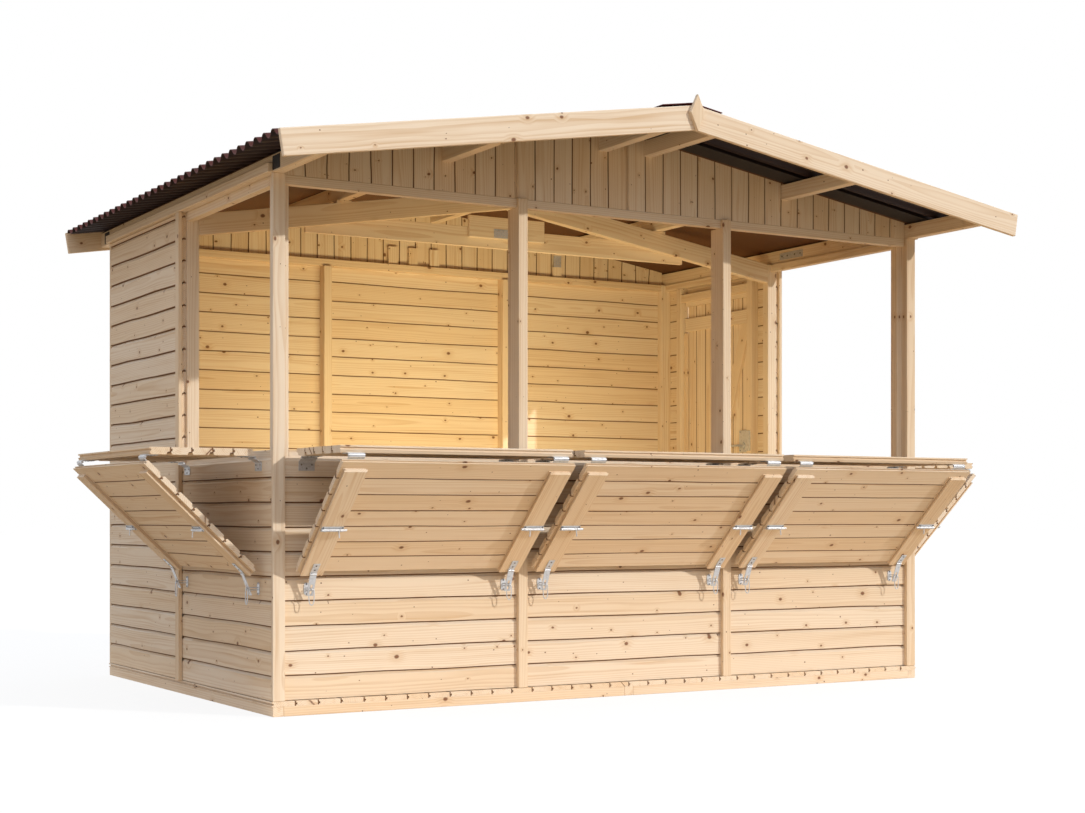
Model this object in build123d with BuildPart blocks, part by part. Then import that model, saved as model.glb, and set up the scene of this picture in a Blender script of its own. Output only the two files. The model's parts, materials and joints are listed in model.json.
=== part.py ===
from build123d import *

import os
from math import acos, atan, cos, radians, sin

# Wooden market stall: boarded hut with three serving bays in front, one on each end, and fold-down
# counters held up by hinged prop panels. Millimetres, +Z up, front towards -Y.
# The origin is on the ground, in the middle of the four corner posts' footprint.

# Overall body
width = 3300
depth = 2120
wall_top = 2114
half_width = width / 2
half_depth = depth / 2
front = -half_depth
rear = half_depth

# Base and floor
beam_height = 40
beam_width = 45
floor_thickness = 19
floor_overhang = 4
floor_top = beam_height + floor_thickness

# Walls and posts
trim_thickness = 18
cladding = 20
corner_trim = 52
corner_stud = 82
post_width = 44
post_depth = 95
front_post_share = 0.1603
front_post_x = width * front_post_share
low_wall_top = 1012
rail_size = 45
rail_top = 1040
lintel_height = 38
lintel_depth = 38
lintel_setback = 20
wall_inner = trim_thickness + cladding
side_face = half_width + trim_thickness
lintel_bottom = wall_top - lintel_height

# Doorway and door in the right wall
door_opening = 616
door_rear_wall = 250
door_front_wall = 160
door_rear_y = rear - door_rear_wall
door_front_y = door_rear_y - door_opening
side_post_y = door_front_y - door_front_wall - post_width / 2
door_top = 1994
door_gap = 6
door_ledge_width = 74
door_ledge_thickness = 20
door_ledge_low = 250
door_ledge_high = 1866
door_brace_width = 74
door_hinge_out = 6

# Roof
roof_rise_share = 0.161
roof_angle = atan(roof_rise_share)
purlin_width = 48
purlin_height = 68
purlin_shares = (0, 0.4545, 0.9145)
purlin_places = [half_width * share for share in purlin_shares]
front_overhang = 480
rear_overhang = 143
eave_overhang = 165
underlay = 3
underlay_front = 120
wave_height = 28
wave_count = 32
sheet_thickness = 3
ridge_cap_reach = 150
ridge_cap_thickness = 3
ridge_gap = 6
fascia_thickness = 20
fascia_height = 103
fascia_rise = 20
fascia_reach = 175
finial_width = 73
finial_height = 155
finial_thickness = 18
finial_bottom = 2356
eave_trim_height = 36
eave_trim_thickness = 20

# Middle truss
rafter_height = 95
rafter_drop = 13
collar_half_length = 1050
collar_bottom = 2080
collar_height = 95
collar_thickness = 22
gusset_half_length = 210
gusset_clearance = 7.6
gusset_height = 105
gusset_thickness = 20
block_margin = 14

# Fold-down counters
flap_gap = 6
counter_hinge_out = 8
counter_hinge_z = 1007
counter_inner = 25
counter_outer = 445
counter_thickness = 28
hinge_offset = 8
prop_hinge_gap = 15
prop_length = 612
prop_thickness = 20
prop_foot_out = 3
prop_hinge_out = counter_outer + prop_hinge_gap / 2
prop_start = prop_hinge_gap / 2
prop_end = prop_start + prop_length
prop_slant = acos((prop_hinge_out - prop_foot_out) / prop_end)
batten_width = 100
batten_thickness = 20
batten_inset = 10
batten_top_gap = 35

# Ironwork of the counters: butt hinges, hasps, staples and barrel bolts
iron = 2.5
hinge_barrel = 10
hinge_width = 68
hinge_bite = 0.5
iron_clearance = 0.3
wall_leaf_bottom = 958
wall_leaf_bend = 990
counter_leaf = 52
prop_leaf = 48
prop_hinge_inset = 60
hasp_width = 28
hasp_length = 92
hasp_lean = 22
hasp_knuckle = 8
hasp_end_gap = 15
hasp_leaf = 52
hasp_slot_width = 9
hasp_slot_length = 40
hasp_slot_end = 8
staple_plate_width = 36
staple_plate_height = 56
staple_height = 14
staple_thickness = 5
staple_reach = 12
staple_eye = 5
bolt_plate_length = 92
bolt_plate_width = 26
bolt_barrel = 11
bolt_place_share = 0.565

# Ironwork of the door: strap hinges and an inside lock case
strap_length = 330
strap_width = 42
strap_tip = 22
pintle_plate = 62
lock_height = 120
lock_width = 70
lock_thickness = 28
lock_z = 1185
lock_inset = 12

# Half the open joint where two boards meet end to end, and how far a cut runs past a face
joint_gap = 0.5
overrun = 10


def roof_under(x):
    """Height of the underside of the roof's underlay at a distance x from the middle."""
    return wall_top + purlin_height + roof_rise_share * (half_width - abs(x))


def add_box(low, high):
    """Add a squared timber or slab between two corners to the part that is being built."""
    sizes = [b - a for a, b in zip(low, high)]
    centre = tuple((a + b) / 2 for a, b in zip(low, high))
    with Locations(centre):
        Box(*sizes)


def add_prism(points, plane, length):
    """Extrude an outline, drawn on a plane, by a length along the plane's normal."""
    with BuildSketch(plane) as outline:
        with BuildLine():
            Polyline(*points, close=True)
        make_face()
    extrude(outline.sketch, amount=length)


def save(builder, label):
    """Label a finished piece and write it to its own file."""
    builder.part.label = label
    export_step(builder.part, f"parts/{label}.step")


def across(y):
    """Upright plane across the stall at a depth y: its x runs to the right and its normal to the front."""
    return Plane(origin=(0, y, 0), x_dir=(1, 0, 0), z_dir=(0, -1, 0))


os.makedirs("parts", exist_ok=True)

# Base runners from front to rear, with their ends showing at the front
with BuildPart() as base_runners:
    for x in (-half_width, -beam_width / 2, half_width - beam_width):
        add_box((x, front, 0), (x + beam_width, rear, beam_height))
save(base_runners, "base_runners")

# Base joists between the runners
with BuildPart() as base_joists:
    for y in (front, -beam_width / 2, rear - beam_width):
        for left in (beam_width - half_width, beam_width / 2):
            bay = half_width - beam_width * 1.5
            add_box((left, y, 0), (left + bay, y + beam_width, beam_height))
save(base_joists, "base_joists")

with BuildPart() as floor:
    reach = half_width + floor_overhang
    add_box((-reach, front, beam_height), (reach, rear, floor_top))
save(floor, "floor")

# Corner posts: a flat trim on the face, a stud set back behind it and a step for the side boards
corner_outline = [
    (0, 0),
    (corner_trim, 0),
    (corner_trim, wall_inner),
    (corner_stud, wall_inner),
    (corner_stud, corner_stud),
    (cladding, corner_stud),
    (cladding, trim_thickness),
    (0, trim_thickness),
]
with BuildPart() as corner_posts:
    for sx in (-1, 1):
        for sy in (-1, 1):
            outline = [(sx * (half_width - u), sy * (half_depth - v)) for u, v in corner_outline]
            add_prism(outline, Plane.XY.offset(floor_top), wall_top - floor_top)
save(corner_posts, "corner_posts")


def post_outline(notch):
    """Side view of a middle post, from its face inwards, with a seat for the lintel behind its trim."""
    return [
        (0, floor_top),
        (post_depth, floor_top),
        (post_depth, lintel_bottom),
        (notch, lintel_bottom),
        (notch, wall_top),
        (0, wall_top),
    ]


def add_post(face, inward, notch):
    """Stand a middle post with the middle of its face at a point, and its depth along inward."""
    side = inward.cross(Vector(0, 0, 1))
    add_prism(post_outline(notch), Plane(face - side * (post_width / 2), inward, side), post_width)


# Middle posts of the front, with the lintel close behind their trims
with BuildPart() as front_posts:
    for x in (-front_post_x, front_post_x):
        add_post(Vector(x, front, 0), Vector(0, 1, 0), lintel_setback)
save(front_posts, "front_posts")

# Middle posts of the rear wall and the end walls, with the wall plates behind the boards
with BuildPart() as wall_posts:
    for x in (-front_post_x, front_post_x):
        add_post(Vector(x, rear, 0), Vector(0, -1, 0), wall_inner)
    for sx in (-1, 1):
        add_post(Vector(sx * side_face, side_post_y, 0), Vector(-sx, 0, 0), wall_inner)
save(wall_posts, "wall_posts")

# Edges of the three bays between the posts, from left to right
post_half = post_width / 2
bays = (
    (-half_width + corner_trim, -front_post_x - post_half),
    (-front_post_x + post_half, front_post_x - post_half),
    (front_post_x + post_half, half_width - corner_trim),
)
side_post_front = side_post_y - post_half
side_post_rear = side_post_y + post_half

# Low walls under the counters
with BuildPart() as low_walls:
    for left, right in bays:
        add_box(
            (left, front + trim_thickness, floor_top),
            (right, front + wall_inner, low_wall_top),
        )
    for sx in (-1, 1):
        inner, outer = sorted((sx * (half_width - cladding), sx * half_width))
        add_box((inner, front + trim_thickness, floor_top), (outer, side_post_front, low_wall_top))
save(low_walls, "low_walls")

# Rails behind the low walls, at the top and on the floor
rail_levels = ((floor_top, floor_top + rail_size), (rail_top - rail_size, rail_top))
with BuildPart() as low_wall_rails:
    for left, right in bays:
        inner_left = max(left, corner_stud - half_width)
        inner_right = min(right, half_width - corner_stud)
        for low, high in rail_levels:
            add_box(
                (inner_left, front + wall_inner, low),
                (inner_right, front + wall_inner + rail_size, high),
            )
    for sx in (-1, 1):
        inner, outer = sorted((sx * (half_width - cladding - rail_size), sx * (half_width - cladding)))
        for low, high in rail_levels:
            add_box((inner, front + corner_stud, low), (outer, side_post_front, high))
save(low_wall_rails, "low_wall_rails")

# Rear wall
with BuildPart() as rear_walls:
    for left, right in bays:
        add_box((left, rear - wall_inner, floor_top), (right, rear - trim_thickness, wall_top))
save(rear_walls, "rear_walls")

# Closed rear half of the left wall
with BuildPart() as left_rear_wall:
    add_box(
        (-half_width, side_post_rear, floor_top),
        (cladding - half_width, rear - trim_thickness, wall_top),
    )
save(left_rear_wall, "left_rear_wall")

# Right wall, split beside and over the doorway
right_inner = half_width - cladding
with BuildPart() as right_walls_beside_door:
    add_box((right_inner, side_post_rear, floor_top), (half_width, door_front_y, wall_top))
    add_box((right_inner, door_rear_y, floor_top), (half_width, rear - trim_thickness, wall_top))
save(right_walls_beside_door, "right_walls_beside_door")

with BuildPart() as right_wall_over_door:
    add_box((right_inner, door_front_y, door_top), (half_width, door_rear_y, wall_top))
save(right_wall_over_door, "right_wall_over_door")

# Door frame inside the right wall
jamb_inner = right_inner - rail_size
with BuildPart() as door_jambs:
    for y in (door_front_y - rail_size, door_rear_y):
        add_box((jamb_inner, y, floor_top), (right_inner, y + rail_size, lintel_bottom))
save(door_jambs, "door_jambs")

with BuildPart() as door_head:
    add_box((jamb_inner, door_front_y, door_top), (right_inner, door_rear_y, door_top + rail_size))
save(door_head, "door_head")

# Boarded door with two ledges and a slanting brace, hinged at its rear edge
door_low = floor_top + door_gap
door_high = door_top - door_gap
leaf_front = door_front_y + door_gap
leaf_rear = door_rear_y - door_gap
ledge_inner = right_inner - door_ledge_thickness
with BuildPart() as door:
    add_box((right_inner, leaf_front, door_low), (half_width, leaf_rear, door_high))
    for z in (door_ledge_low, door_ledge_high):
        add_box(
            (ledge_inner, leaf_front, z - door_ledge_width / 2),
            (right_inner, leaf_rear, z + door_ledge_width / 2),
        )
    brace_low = door_ledge_low + door_ledge_width / 2
    brace_high = door_ledge_high - door_ledge_width / 2
    brace_outline = [
        (leaf_rear, brace_low),
        (leaf_rear - door_brace_width, brace_low),
        (leaf_front, brace_high),
        (leaf_front + door_brace_width, brace_high),
    ]
    brace_plane = Plane(origin=(ledge_inner, 0, 0), x_dir=(0, 1, 0), z_dir=(1, 0, 0))
    add_prism(brace_outline, brace_plane, door_ledge_thickness)
save(door, "door")

# Lintels over the bays and the plates along the tops of the walls
with BuildPart() as front_lintel:
    lintel_outline = [
        (half_width - corner_trim, front + lintel_setback),
        (half_width - corner_trim, front + wall_inner),
        (half_width - corner_stud, front + wall_inner),
        (half_width - corner_stud, front + lintel_setback + lintel_depth),
    ]
    mirrored = [(-x, y) for x, y in reversed(lintel_outline)]
    add_prism(lintel_outline + mirrored, Plane.XY.offset(lintel_bottom), lintel_height)
save(front_lintel, "front_lintel")

with BuildPart() as wall_plates:
    add_box(
        (corner_stud - half_width, rear - wall_inner - lintel_depth, lintel_bottom),
        (half_width - corner_stud, rear - wall_inner, wall_top),
    )
    for sx in (-1, 1):
        inner, outer = sorted((sx * (half_width - cladding - lintel_depth), sx * (half_width - cladding)))
        add_box((inner, front + corner_stud, lintel_bottom), (outer, rear - corner_stud, wall_top))
save(wall_plates, "wall_plates")

# Purlins from fascia to fascia
roof_front = front - front_overhang
roof_rear = rear + rear_overhang
with BuildPart() as purlins:
    for sx in (-1, 1):
        for place in purlin_places:
            inner, outer = sorted((sx * (half_width - place), sx * (half_width - place - purlin_width)))
            low = wall_top + roof_rise_share * place
            add_box((inner, roof_front, low), (outer, roof_rear, low + purlin_height))
save(purlins, "purlins")

# Boarded gables between the eave purlins, notched round the inner purlins
gable_half = half_width - purlin_width
gable_outline = [
    (-gable_half, wall_top),
    (gable_half, wall_top),
    (gable_half, roof_under(gable_half)),
    (0, roof_under(0)),
    (-gable_half, roof_under(gable_half)),
]
with BuildPart() as gables:
    for y in (front + lintel_setback, rear - lintel_setback - cladding):
        add_prism(gable_outline, across(y), -cladding)
        for sx in (-1, 1):
            for place in purlin_places[1:]:
                middle = sx * (half_width - place - purlin_width / 2)
                low = wall_top + roof_rise_share * place
                with Locations((middle, y + cladding / 2, low + purlin_height)):
                    Box(purlin_width, cladding + overrun, purlin_height * 2, mode=Mode.SUBTRACT)
save(gables, "gables")

# Trims along the eaves, on the outer faces of the eave purlins
with BuildPart() as eave_trims:
    for sx in (-1, 1):
        inner, outer = sorted((sx * half_width, sx * (half_width + eave_trim_thickness)))
        add_box((inner, front, wall_top), (outer, rear, wall_top + eave_trim_height))
save(eave_trims, "eave_trims")

# Flat underlay on the purlins, and the corrugated sheets above it
sheet_rise = underlay / cos(roof_angle)
wave_rise = wave_height / cos(roof_angle)
with BuildPart() as roof_underlay:
    for sx in (-1, 1):
        underlay_outline = [
            (sx * half_width, roof_under(half_width)),
            (sx * ridge_gap, roof_under(ridge_gap)),
            (sx * ridge_gap, roof_under(ridge_gap) + sheet_rise),
            (sx * half_width, roof_under(half_width) + sheet_rise),
        ]
        add_prism(underlay_outline, across(front - underlay_front), -(depth + 2 * underlay_front))
save(roof_underlay, "roof_underlay")

# The wave's outline stands square to the slope at the eave and runs up to the ridge
eave_x = half_width + eave_overhang
sheet_run = (eave_x - ridge_gap) / cos(roof_angle)
pitch = (roof_rear - roof_front) / wave_count
middle = (wave_height - sheet_thickness) / 2
with BuildPart() as roof_sheets:
    for sx in (-1, 1):
        uphill = Vector(-sx * cos(roof_angle), 0, sin(roof_angle))
        eave = Vector(sx * eave_x, 0, roof_under(eave_x) + sheet_rise)
        wave_plane = Plane(origin=eave, x_dir=(0, -sx, 0), z_dir=uphill)
        first = roof_front if sx < 0 else -roof_rear
        last = first + wave_count * pitch
        with BuildSketch(wave_plane):
            with BuildLine():
                for level in (middle, middle + sheet_thickness):
                    for half_wave in range(2 * wave_count):
                        start = first + half_wave * pitch / 2
                        swing = middle if half_wave % 2 else -middle
                        ThreePointArc(
                            (start, level),
                            (start + pitch / 4, level + swing),
                            (start + pitch / 2, level),
                        )
                for end in (first, last):
                    Line((end, middle), (end, middle + sheet_thickness))
            make_face()
        extrude(amount=sheet_run)
save(roof_sheets, "roof_sheets")

# Bent cap over the ridge
with BuildPart() as ridge_cap:
    cap_low = sheet_rise + wave_rise
    cap_high = cap_low + ridge_cap_thickness / cos(roof_angle)
    cap_outline = [
        (-ridge_cap_reach, roof_under(ridge_cap_reach) + cap_low),
        (0, roof_under(0) + cap_low),
        (ridge_cap_reach, roof_under(ridge_cap_reach) + cap_low),
        (ridge_cap_reach, roof_under(ridge_cap_reach) + cap_high),
        (0, roof_under(0) + cap_high),
        (-ridge_cap_reach, roof_under(ridge_cap_reach) + cap_high),
    ]
    add_prism(cap_outline, across(roof_front), -(roof_rear - roof_front))
save(ridge_cap, "ridge_cap")

# Fascia boards along the gable edges, square-cut at the eaves and mitred at the ridge
fascia_end_x = half_width + fascia_reach
fascia_end_z = roof_under(fascia_end_x) + fascia_rise
fascia_board = fascia_height * cos(roof_angle)
with BuildPart() as fascias:
    for y in (roof_front - fascia_thickness, roof_rear):
        for sx in (-1, 1):
            fascia_outline = [
                (sx * joint_gap, roof_under(joint_gap) + fascia_rise),
                (sx * fascia_end_x, fascia_end_z),
                (
                    sx * (fascia_end_x - fascia_board * sin(roof_angle)),
                    fascia_end_z - fascia_board * cos(roof_angle),
                ),
                (sx * joint_gap, roof_under(joint_gap) + fascia_rise - fascia_height),
            ]
            add_prism(fascia_outline, across(y), -fascia_thickness)
save(fascias, "fascias")

# Diamond-shaped finials over the fascias' joints
with BuildPart() as finials:
    for y in (roof_front - fascia_thickness - finial_thickness, roof_rear + fascia_thickness):
        finial_middle = finial_bottom + finial_height / 2
        finial_outline = [
            (0, finial_bottom),
            (finial_width / 2, finial_middle),
            (0, finial_bottom + finial_height),
            (-finial_width / 2, finial_middle),
        ]
        add_prism(finial_outline, across(y), -finial_thickness)
save(finials, "finials")

# Middle truss: two rafters, a collar behind them and a gusset on the collar's face
rafter_rise = rafter_height / cos(roof_angle)
rafter_foot = half_width + trim_thickness - post_depth
purlin_under = wall_top - rafter_drop


def rafter_top(x):
    """Height of the rafters' upper edge at a distance x from the middle."""
    return purlin_under + roof_rise_share * (half_width - abs(x))


with BuildPart() as truss_rafters:
    for sx in (-1, 1):
        rafter_outline = [
            (sx * joint_gap, rafter_top(joint_gap)),
            (sx * rafter_foot, rafter_top(rafter_foot)),
            (sx * rafter_foot, rafter_top(rafter_foot) - rafter_rise),
            (sx * joint_gap, rafter_top(joint_gap) - rafter_rise),
        ]
        add_prism(rafter_outline, across(side_post_front), -post_width)
save(truss_rafters, "truss_rafters")

with BuildPart() as truss_collar:
    add_box(
        (-collar_half_length, side_post_rear, collar_bottom),
        (collar_half_length, side_post_rear + collar_thickness, collar_bottom + collar_height),
    )
save(truss_collar, "truss_collar")

gusset_top = rafter_top(gusset_half_length) - rafter_rise - gusset_clearance
with BuildPart() as truss_gusset:
    add_box(
        (-gusset_half_length, side_post_rear - gusset_thickness, gusset_top - gusset_height),
        (gusset_half_length, side_post_rear, gusset_top),
    )
save(truss_gusset, "truss_gusset")

# Wedge-shaped blocks that seat the inner purlins on the rafters
with BuildPart() as purlin_blocks:
    for sx in (-1, 1):
        for place in purlin_places[1:]:
            far = half_width - place + block_margin
            near = half_width - place - purlin_width - block_margin
            low = wall_top + roof_rise_share * place
            block_outline = [
                (sx * far, rafter_top(far)),
                (sx * near, rafter_top(near)),
                (sx * near, low),
                (sx * far, low),
            ]
            add_prism(block_outline, across(side_post_front), -post_width)
save(purlin_blocks, "purlin_blocks")

# The five fold-down counters: name, middle of the bay on the posts' faces, way out, and width
front_clear = 2 * front_post_x - post_width
side_clear = side_post_front - (front + corner_stud)
side_middle = front + corner_stud + side_clear / 2
outer_clear = half_width - corner_stud - front_post_x - post_half
outer_bay = front_post_x + post_half + outer_clear / 2
flaps = (
    ("front_left", (-outer_bay, front), (0, -1, 0), outer_clear),
    ("front_middle", (0, front), (0, -1, 0), front_clear),
    ("front_right", (outer_bay, front), (0, -1, 0), outer_clear),
    ("end_left", (-side_face, side_middle), (-1, 0, 0), side_clear),
    ("end_right", (side_face, side_middle), (1, 0, 0), side_clear),
)
counter_bottom = counter_hinge_z + hinge_offset
prop_face = hinge_offset + prop_thickness
batten_face = prop_face + batten_thickness
barrel_radius = hinge_barrel / 2
leaf_near = barrel_radius + iron_clearance
knuckle_along = prop_end - hasp_end_gap
knuckle_off = batten_face + hasp_knuckle / 2 + iron_clearance
slot_along = hasp_length - hasp_slot_end - hasp_slot_length / 2
lean = radians(hasp_lean)


def flap_planes(middle, outward):
    """Planes of a counter, its prop panel and its hasps, square to the hinges in the bay's middle."""
    out = Vector(*outward)
    up = Vector(0, 0, 1)
    along = out.cross(up)
    flap = Plane(Vector(*middle), out, along)
    prop_hinge = flap.from_local_coords((prop_hinge_out, counter_hinge_z, 0))
    prop = Plane(prop_hinge, out * -cos(prop_slant) - up * sin(prop_slant), along)
    hasp_hinge = prop.from_local_coords((knuckle_along, knuckle_off, 0))
    hasp = Plane(hasp_hinge, out * -sin(lean) - up * cos(lean), along)
    return flap, prop, hasp


def add_plate(plane, low, high, breadth):
    """Add a plate or board whose section on a plane runs between two corners, centred on the plane."""
    with BuildSketch(plane) as section:
        with Locations(((low[0] + high[0]) / 2, (low[1] + high[1]) / 2)):
            Rectangle(high[0] - low[0], high[1] - low[1])
    extrude(section.sketch, amount=breadth / 2, both=True)


def add_rod(plane, centre, diameter, length):
    """Add a round bar square to a plane and centred on it."""
    with BuildSketch(plane) as section:
        with Locations(centre):
            Circle(diameter / 2)
    extrude(section.sketch, amount=length / 2, both=True)


for name, middle, outward, clear in flaps:
    flap_plane, prop_plane, hasp_plane = flap_planes(middle, outward)
    flap_width = clear - 2 * flap_gap
    batten_place = flap_width / 2 - batten_inset - batten_width / 2
    prop_hinge_place = flap_width / 2 - prop_hinge_inset

    # Counter: the lower half of the closed shutter, laid level
    with BuildPart() as counter:
        add_plate(
            flap_plane,
            (counter_inner, counter_bottom),
            (counter_outer, counter_bottom + counter_thickness),
            flap_width,
        )
    save(counter, f"{name}_counter")

    # Hinge leaves under the counter, the outer ones with the barrels that carry the prop panel
    with BuildPart() as counter_irons:
        for place in (-batten_place, batten_place):
            add_plate(
                flap_plane.offset(place),
                (counter_hinge_out, counter_hinge_z + leaf_near),
                (counter_hinge_out + counter_leaf, counter_bottom),
                hinge_width,
            )
        for place in (-prop_hinge_place, prop_hinge_place):
            add_plate(
                flap_plane.offset(place),
                (prop_hinge_out - counter_leaf, counter_hinge_z + barrel_radius - hinge_bite),
                (prop_hinge_out - joint_gap, counter_bottom),
                hinge_width,
            )
            add_rod(flap_plane.offset(place), (prop_hinge_out, counter_hinge_z), hinge_barrel, hinge_width)
    save(counter_irons, f"{name}_counter_irons")

    # Prop panel with its two battens: the upper half, folded back under the counter to the wall
    with BuildPart() as prop:
        add_plate(prop_plane, (prop_start, hinge_offset), (prop_end, prop_face), flap_width)
        for place in (-batten_place, batten_place):
            add_plate(
                prop_plane.offset(place),
                (prop_start + batten_top_gap, prop_face),
                (prop_end, batten_face),
                batten_width,
            )
    save(prop, f"{name}_prop")

    # Hinge leaves, hasp leaves and barrel bolts on the prop panel
    with BuildPart() as prop_irons:
        for place in (-prop_hinge_place, prop_hinge_place):
            add_plate(
                prop_plane.offset(place),
                (joint_gap, leaf_near),
                (prop_leaf, hinge_offset),
                hinge_width,
            )
        for place in (-batten_place, batten_place):
            leaf_end = knuckle_along - hasp_knuckle / 2 - iron_clearance
            add_plate(
                prop_plane.offset(place),
                (leaf_end - hasp_leaf, batten_face),
                (leaf_end, batten_face + iron),
                hasp_width,
            )
            bolt_along = prop_end * bolt_place_share
            add_plate(
                prop_plane.offset(place),
                (bolt_along - bolt_plate_width / 2, batten_face),
                (bolt_along + bolt_plate_width / 2, batten_face + iron),
                bolt_plate_length,
            )
            bolt_centre = (bolt_along, batten_face + iron + bolt_barrel / 2 - hinge_bite)
            add_rod(prop_plane.offset(place), bolt_centre, bolt_barrel, bolt_plate_length)
    save(prop_irons, f"{name}_prop_irons")

    # Hasps: slotted straps that hang from the battens' lower ends and reach over the wall's staples
    with BuildPart() as hasps:
        for place in (-batten_place, batten_place):
            strap_plane = hasp_plane.offset(place)
            add_rod(strap_plane, (0, 0), hasp_knuckle, hasp_width)
            add_plate(strap_plane, (0, -iron / 2), (hasp_length, iron / 2), hasp_width)
            with BuildSketch(strap_plane):
                with Locations((slot_along, 0)):
                    Rectangle(hasp_slot_length, iron + overrun)
            extrude(amount=hasp_slot_width / 2, both=True, mode=Mode.SUBTRACT)
    save(hasps, f"{name}_hasps")

# Ironwork on the walls: cranked leaves with the counters' barrels, staples for the hasps' slots, and
# the pintles of the door
strap_slot = flap_planes((0, 0), (1, 0, 0))[2].from_local_coords((slot_along, 0, 0))
staple_end = strap_slot.X + staple_reach
door_hinge_x = half_width + door_hinge_out
with BuildPart() as wall_irons:
    for name, middle, outward, clear in flaps:
        flap_plane = flap_planes(middle, outward)[0]
        batten_place = clear / 2 - flap_gap - batten_inset - batten_width / 2
        for place in (-batten_place, batten_place):
            plane = flap_plane.offset(place)
            crank_top = wall_leaf_bend + iron
            leaf_outline = [
                (-trim_thickness, wall_leaf_bottom),
                (iron - trim_thickness, wall_leaf_bottom),
                (iron - trim_thickness, wall_leaf_bend),
                (counter_hinge_out, counter_hinge_z - iron),
                (counter_hinge_out, counter_hinge_z),
                (-trim_thickness, crank_top),
            ]
            with BuildSketch(plane):
                with BuildLine():
                    Polyline(*leaf_outline, close=True)
                make_face()
                with Locations((counter_hinge_out, counter_hinge_z)):
                    Circle(barrel_radius)
            extrude(amount=hinge_width / 2, both=True)
            staple_low = strap_slot.Z - staple_plate_height / 2
            add_plate(
                plane,
                (-trim_thickness, staple_low),
                (iron - trim_thickness, staple_low + staple_plate_height),
                staple_plate_width,
            )
            eye_centre = (staple_end - staple_height / 2, strap_slot.Z)
            with BuildSketch(plane):
                with Locations(((eye_centre[0] - trim_thickness) / 2, strap_slot.Z)):
                    Rectangle(eye_centre[0] + trim_thickness, staple_height)
                with Locations(eye_centre):
                    Circle(staple_height / 2)
                    Circle(staple_eye / 2, mode=Mode.SUBTRACT)
            extrude(amount=staple_thickness / 2, both=True)
    for z in (door_ledge_low, door_ledge_high):
        with Locations((door_hinge_x, leaf_rear, z)):
            Cylinder(barrel_radius, strap_width)
        add_box(
            (half_width, leaf_rear + joint_gap, z - strap_width / 2),
            (half_width + iron, leaf_rear + pintle_plate, z + strap_width / 2),
        )
save(wall_irons, "wall_irons")

# Ironwork on the door: tapering straps outside, level with the ledges, and a lock case inside
with BuildPart() as door_irons:
    strap_rear = leaf_rear - leaf_near
    strap_front = strap_rear - strap_length
    for z in (door_ledge_low, door_ledge_high):
        strap_outline = [
            (strap_rear, z - strap_width / 2),
            (strap_rear, z + strap_width / 2),
            (strap_front, z + strap_tip / 2),
            (strap_front, z - strap_tip / 2),
        ]
        add_prism(strap_outline, Plane((half_width, 0, 0), (0, 1, 0), (1, 0, 0)), iron)
    add_box(
        (right_inner - lock_thickness, leaf_front + lock_inset, lock_z - lock_height / 2),
        (right_inner, leaf_front + lock_inset + lock_width, lock_z + lock_height / 2),
    )
save(door_irons, "door_irons")
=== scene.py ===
"""Dresses a wooden market stall: tongued boards, planed timbers, ironwork, roof and the stage."""

import json
import math
import random

import bmesh
import bpy
from bpy.props import FloatProperty, FloatVectorProperty, IntProperty, PointerProperty
from mathutils import Matrix, Vector


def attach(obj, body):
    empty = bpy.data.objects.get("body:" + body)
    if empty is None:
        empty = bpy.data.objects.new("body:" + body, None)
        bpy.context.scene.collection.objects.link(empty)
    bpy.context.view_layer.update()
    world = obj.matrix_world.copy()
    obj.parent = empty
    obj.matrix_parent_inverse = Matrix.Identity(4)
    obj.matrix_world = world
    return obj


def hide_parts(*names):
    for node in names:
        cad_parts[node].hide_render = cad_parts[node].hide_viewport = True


bl_info = {
    "name": "Market Stall",
    "version": (1, 0, 0),
    "blender": (4, 5, 0),
    "location": "View3D > Sidebar > Stall",
    "description": "Builds the boards, ironwork and finishes of a market stall around its solids",
    "category": "Object",
}

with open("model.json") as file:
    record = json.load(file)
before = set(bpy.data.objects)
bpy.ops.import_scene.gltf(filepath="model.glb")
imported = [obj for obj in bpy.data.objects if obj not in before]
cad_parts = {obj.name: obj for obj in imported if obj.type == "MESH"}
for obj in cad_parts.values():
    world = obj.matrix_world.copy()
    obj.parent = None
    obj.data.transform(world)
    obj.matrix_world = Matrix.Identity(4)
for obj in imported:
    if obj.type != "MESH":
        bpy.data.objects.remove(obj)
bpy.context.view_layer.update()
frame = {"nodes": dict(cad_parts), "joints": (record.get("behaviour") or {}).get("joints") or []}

STALL = "stall"
FLAPS = ("front_left", "front_middle", "front_right", "end_left", "end_right")
JOINTS = {joint["name"]: joint for joint in frame["joints"]}
RIGHT, BACK, UP = Vector((1, 0, 0)), Vector((0, 1, 0)), Vector((0, 0, 1))


class Wire:
    """A node's output. Python's operators on it add the Math nodes that do the same in its tree."""

    def __init__(self, graph, socket):
        self.graph = graph
        self.socket = socket

    def __getitem__(self, name):
        return Wire(self.graph, pick(self.socket.node.outputs, name))

    def math(self, operation, *values):
        return self.graph.node("ShaderNodeMath", {"operation": operation}, dict(enumerate(values)))

    def __add__(self, other):
        return self.math("ADD", self, other)

    def __radd__(self, other):
        return self.math("ADD", other, self)

    def __sub__(self, other):
        return self.math("SUBTRACT", self, other)

    def __rsub__(self, other):
        return self.math("SUBTRACT", other, self)

    def __mul__(self, other):
        return self.math("MULTIPLY", self, other)

    def __rmul__(self, other):
        return self.math("MULTIPLY", other, self)

    def __truediv__(self, other):
        return self.math("DIVIDE", self, other)

    def __pow__(self, other):
        return self.math("POWER", self, other)

    def __abs__(self):
        return self.math("ABSOLUTE", self)

    def __gt__(self, other):
        return self.math("GREATER_THAN", self, other)

    def fract(self):
        return self.math("FRACT", self)

    def least(self, other):
        return self.math("MINIMUM", self, other)

    def most(self, other):
        return self.math("MAXIMUM", self, other)


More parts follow.
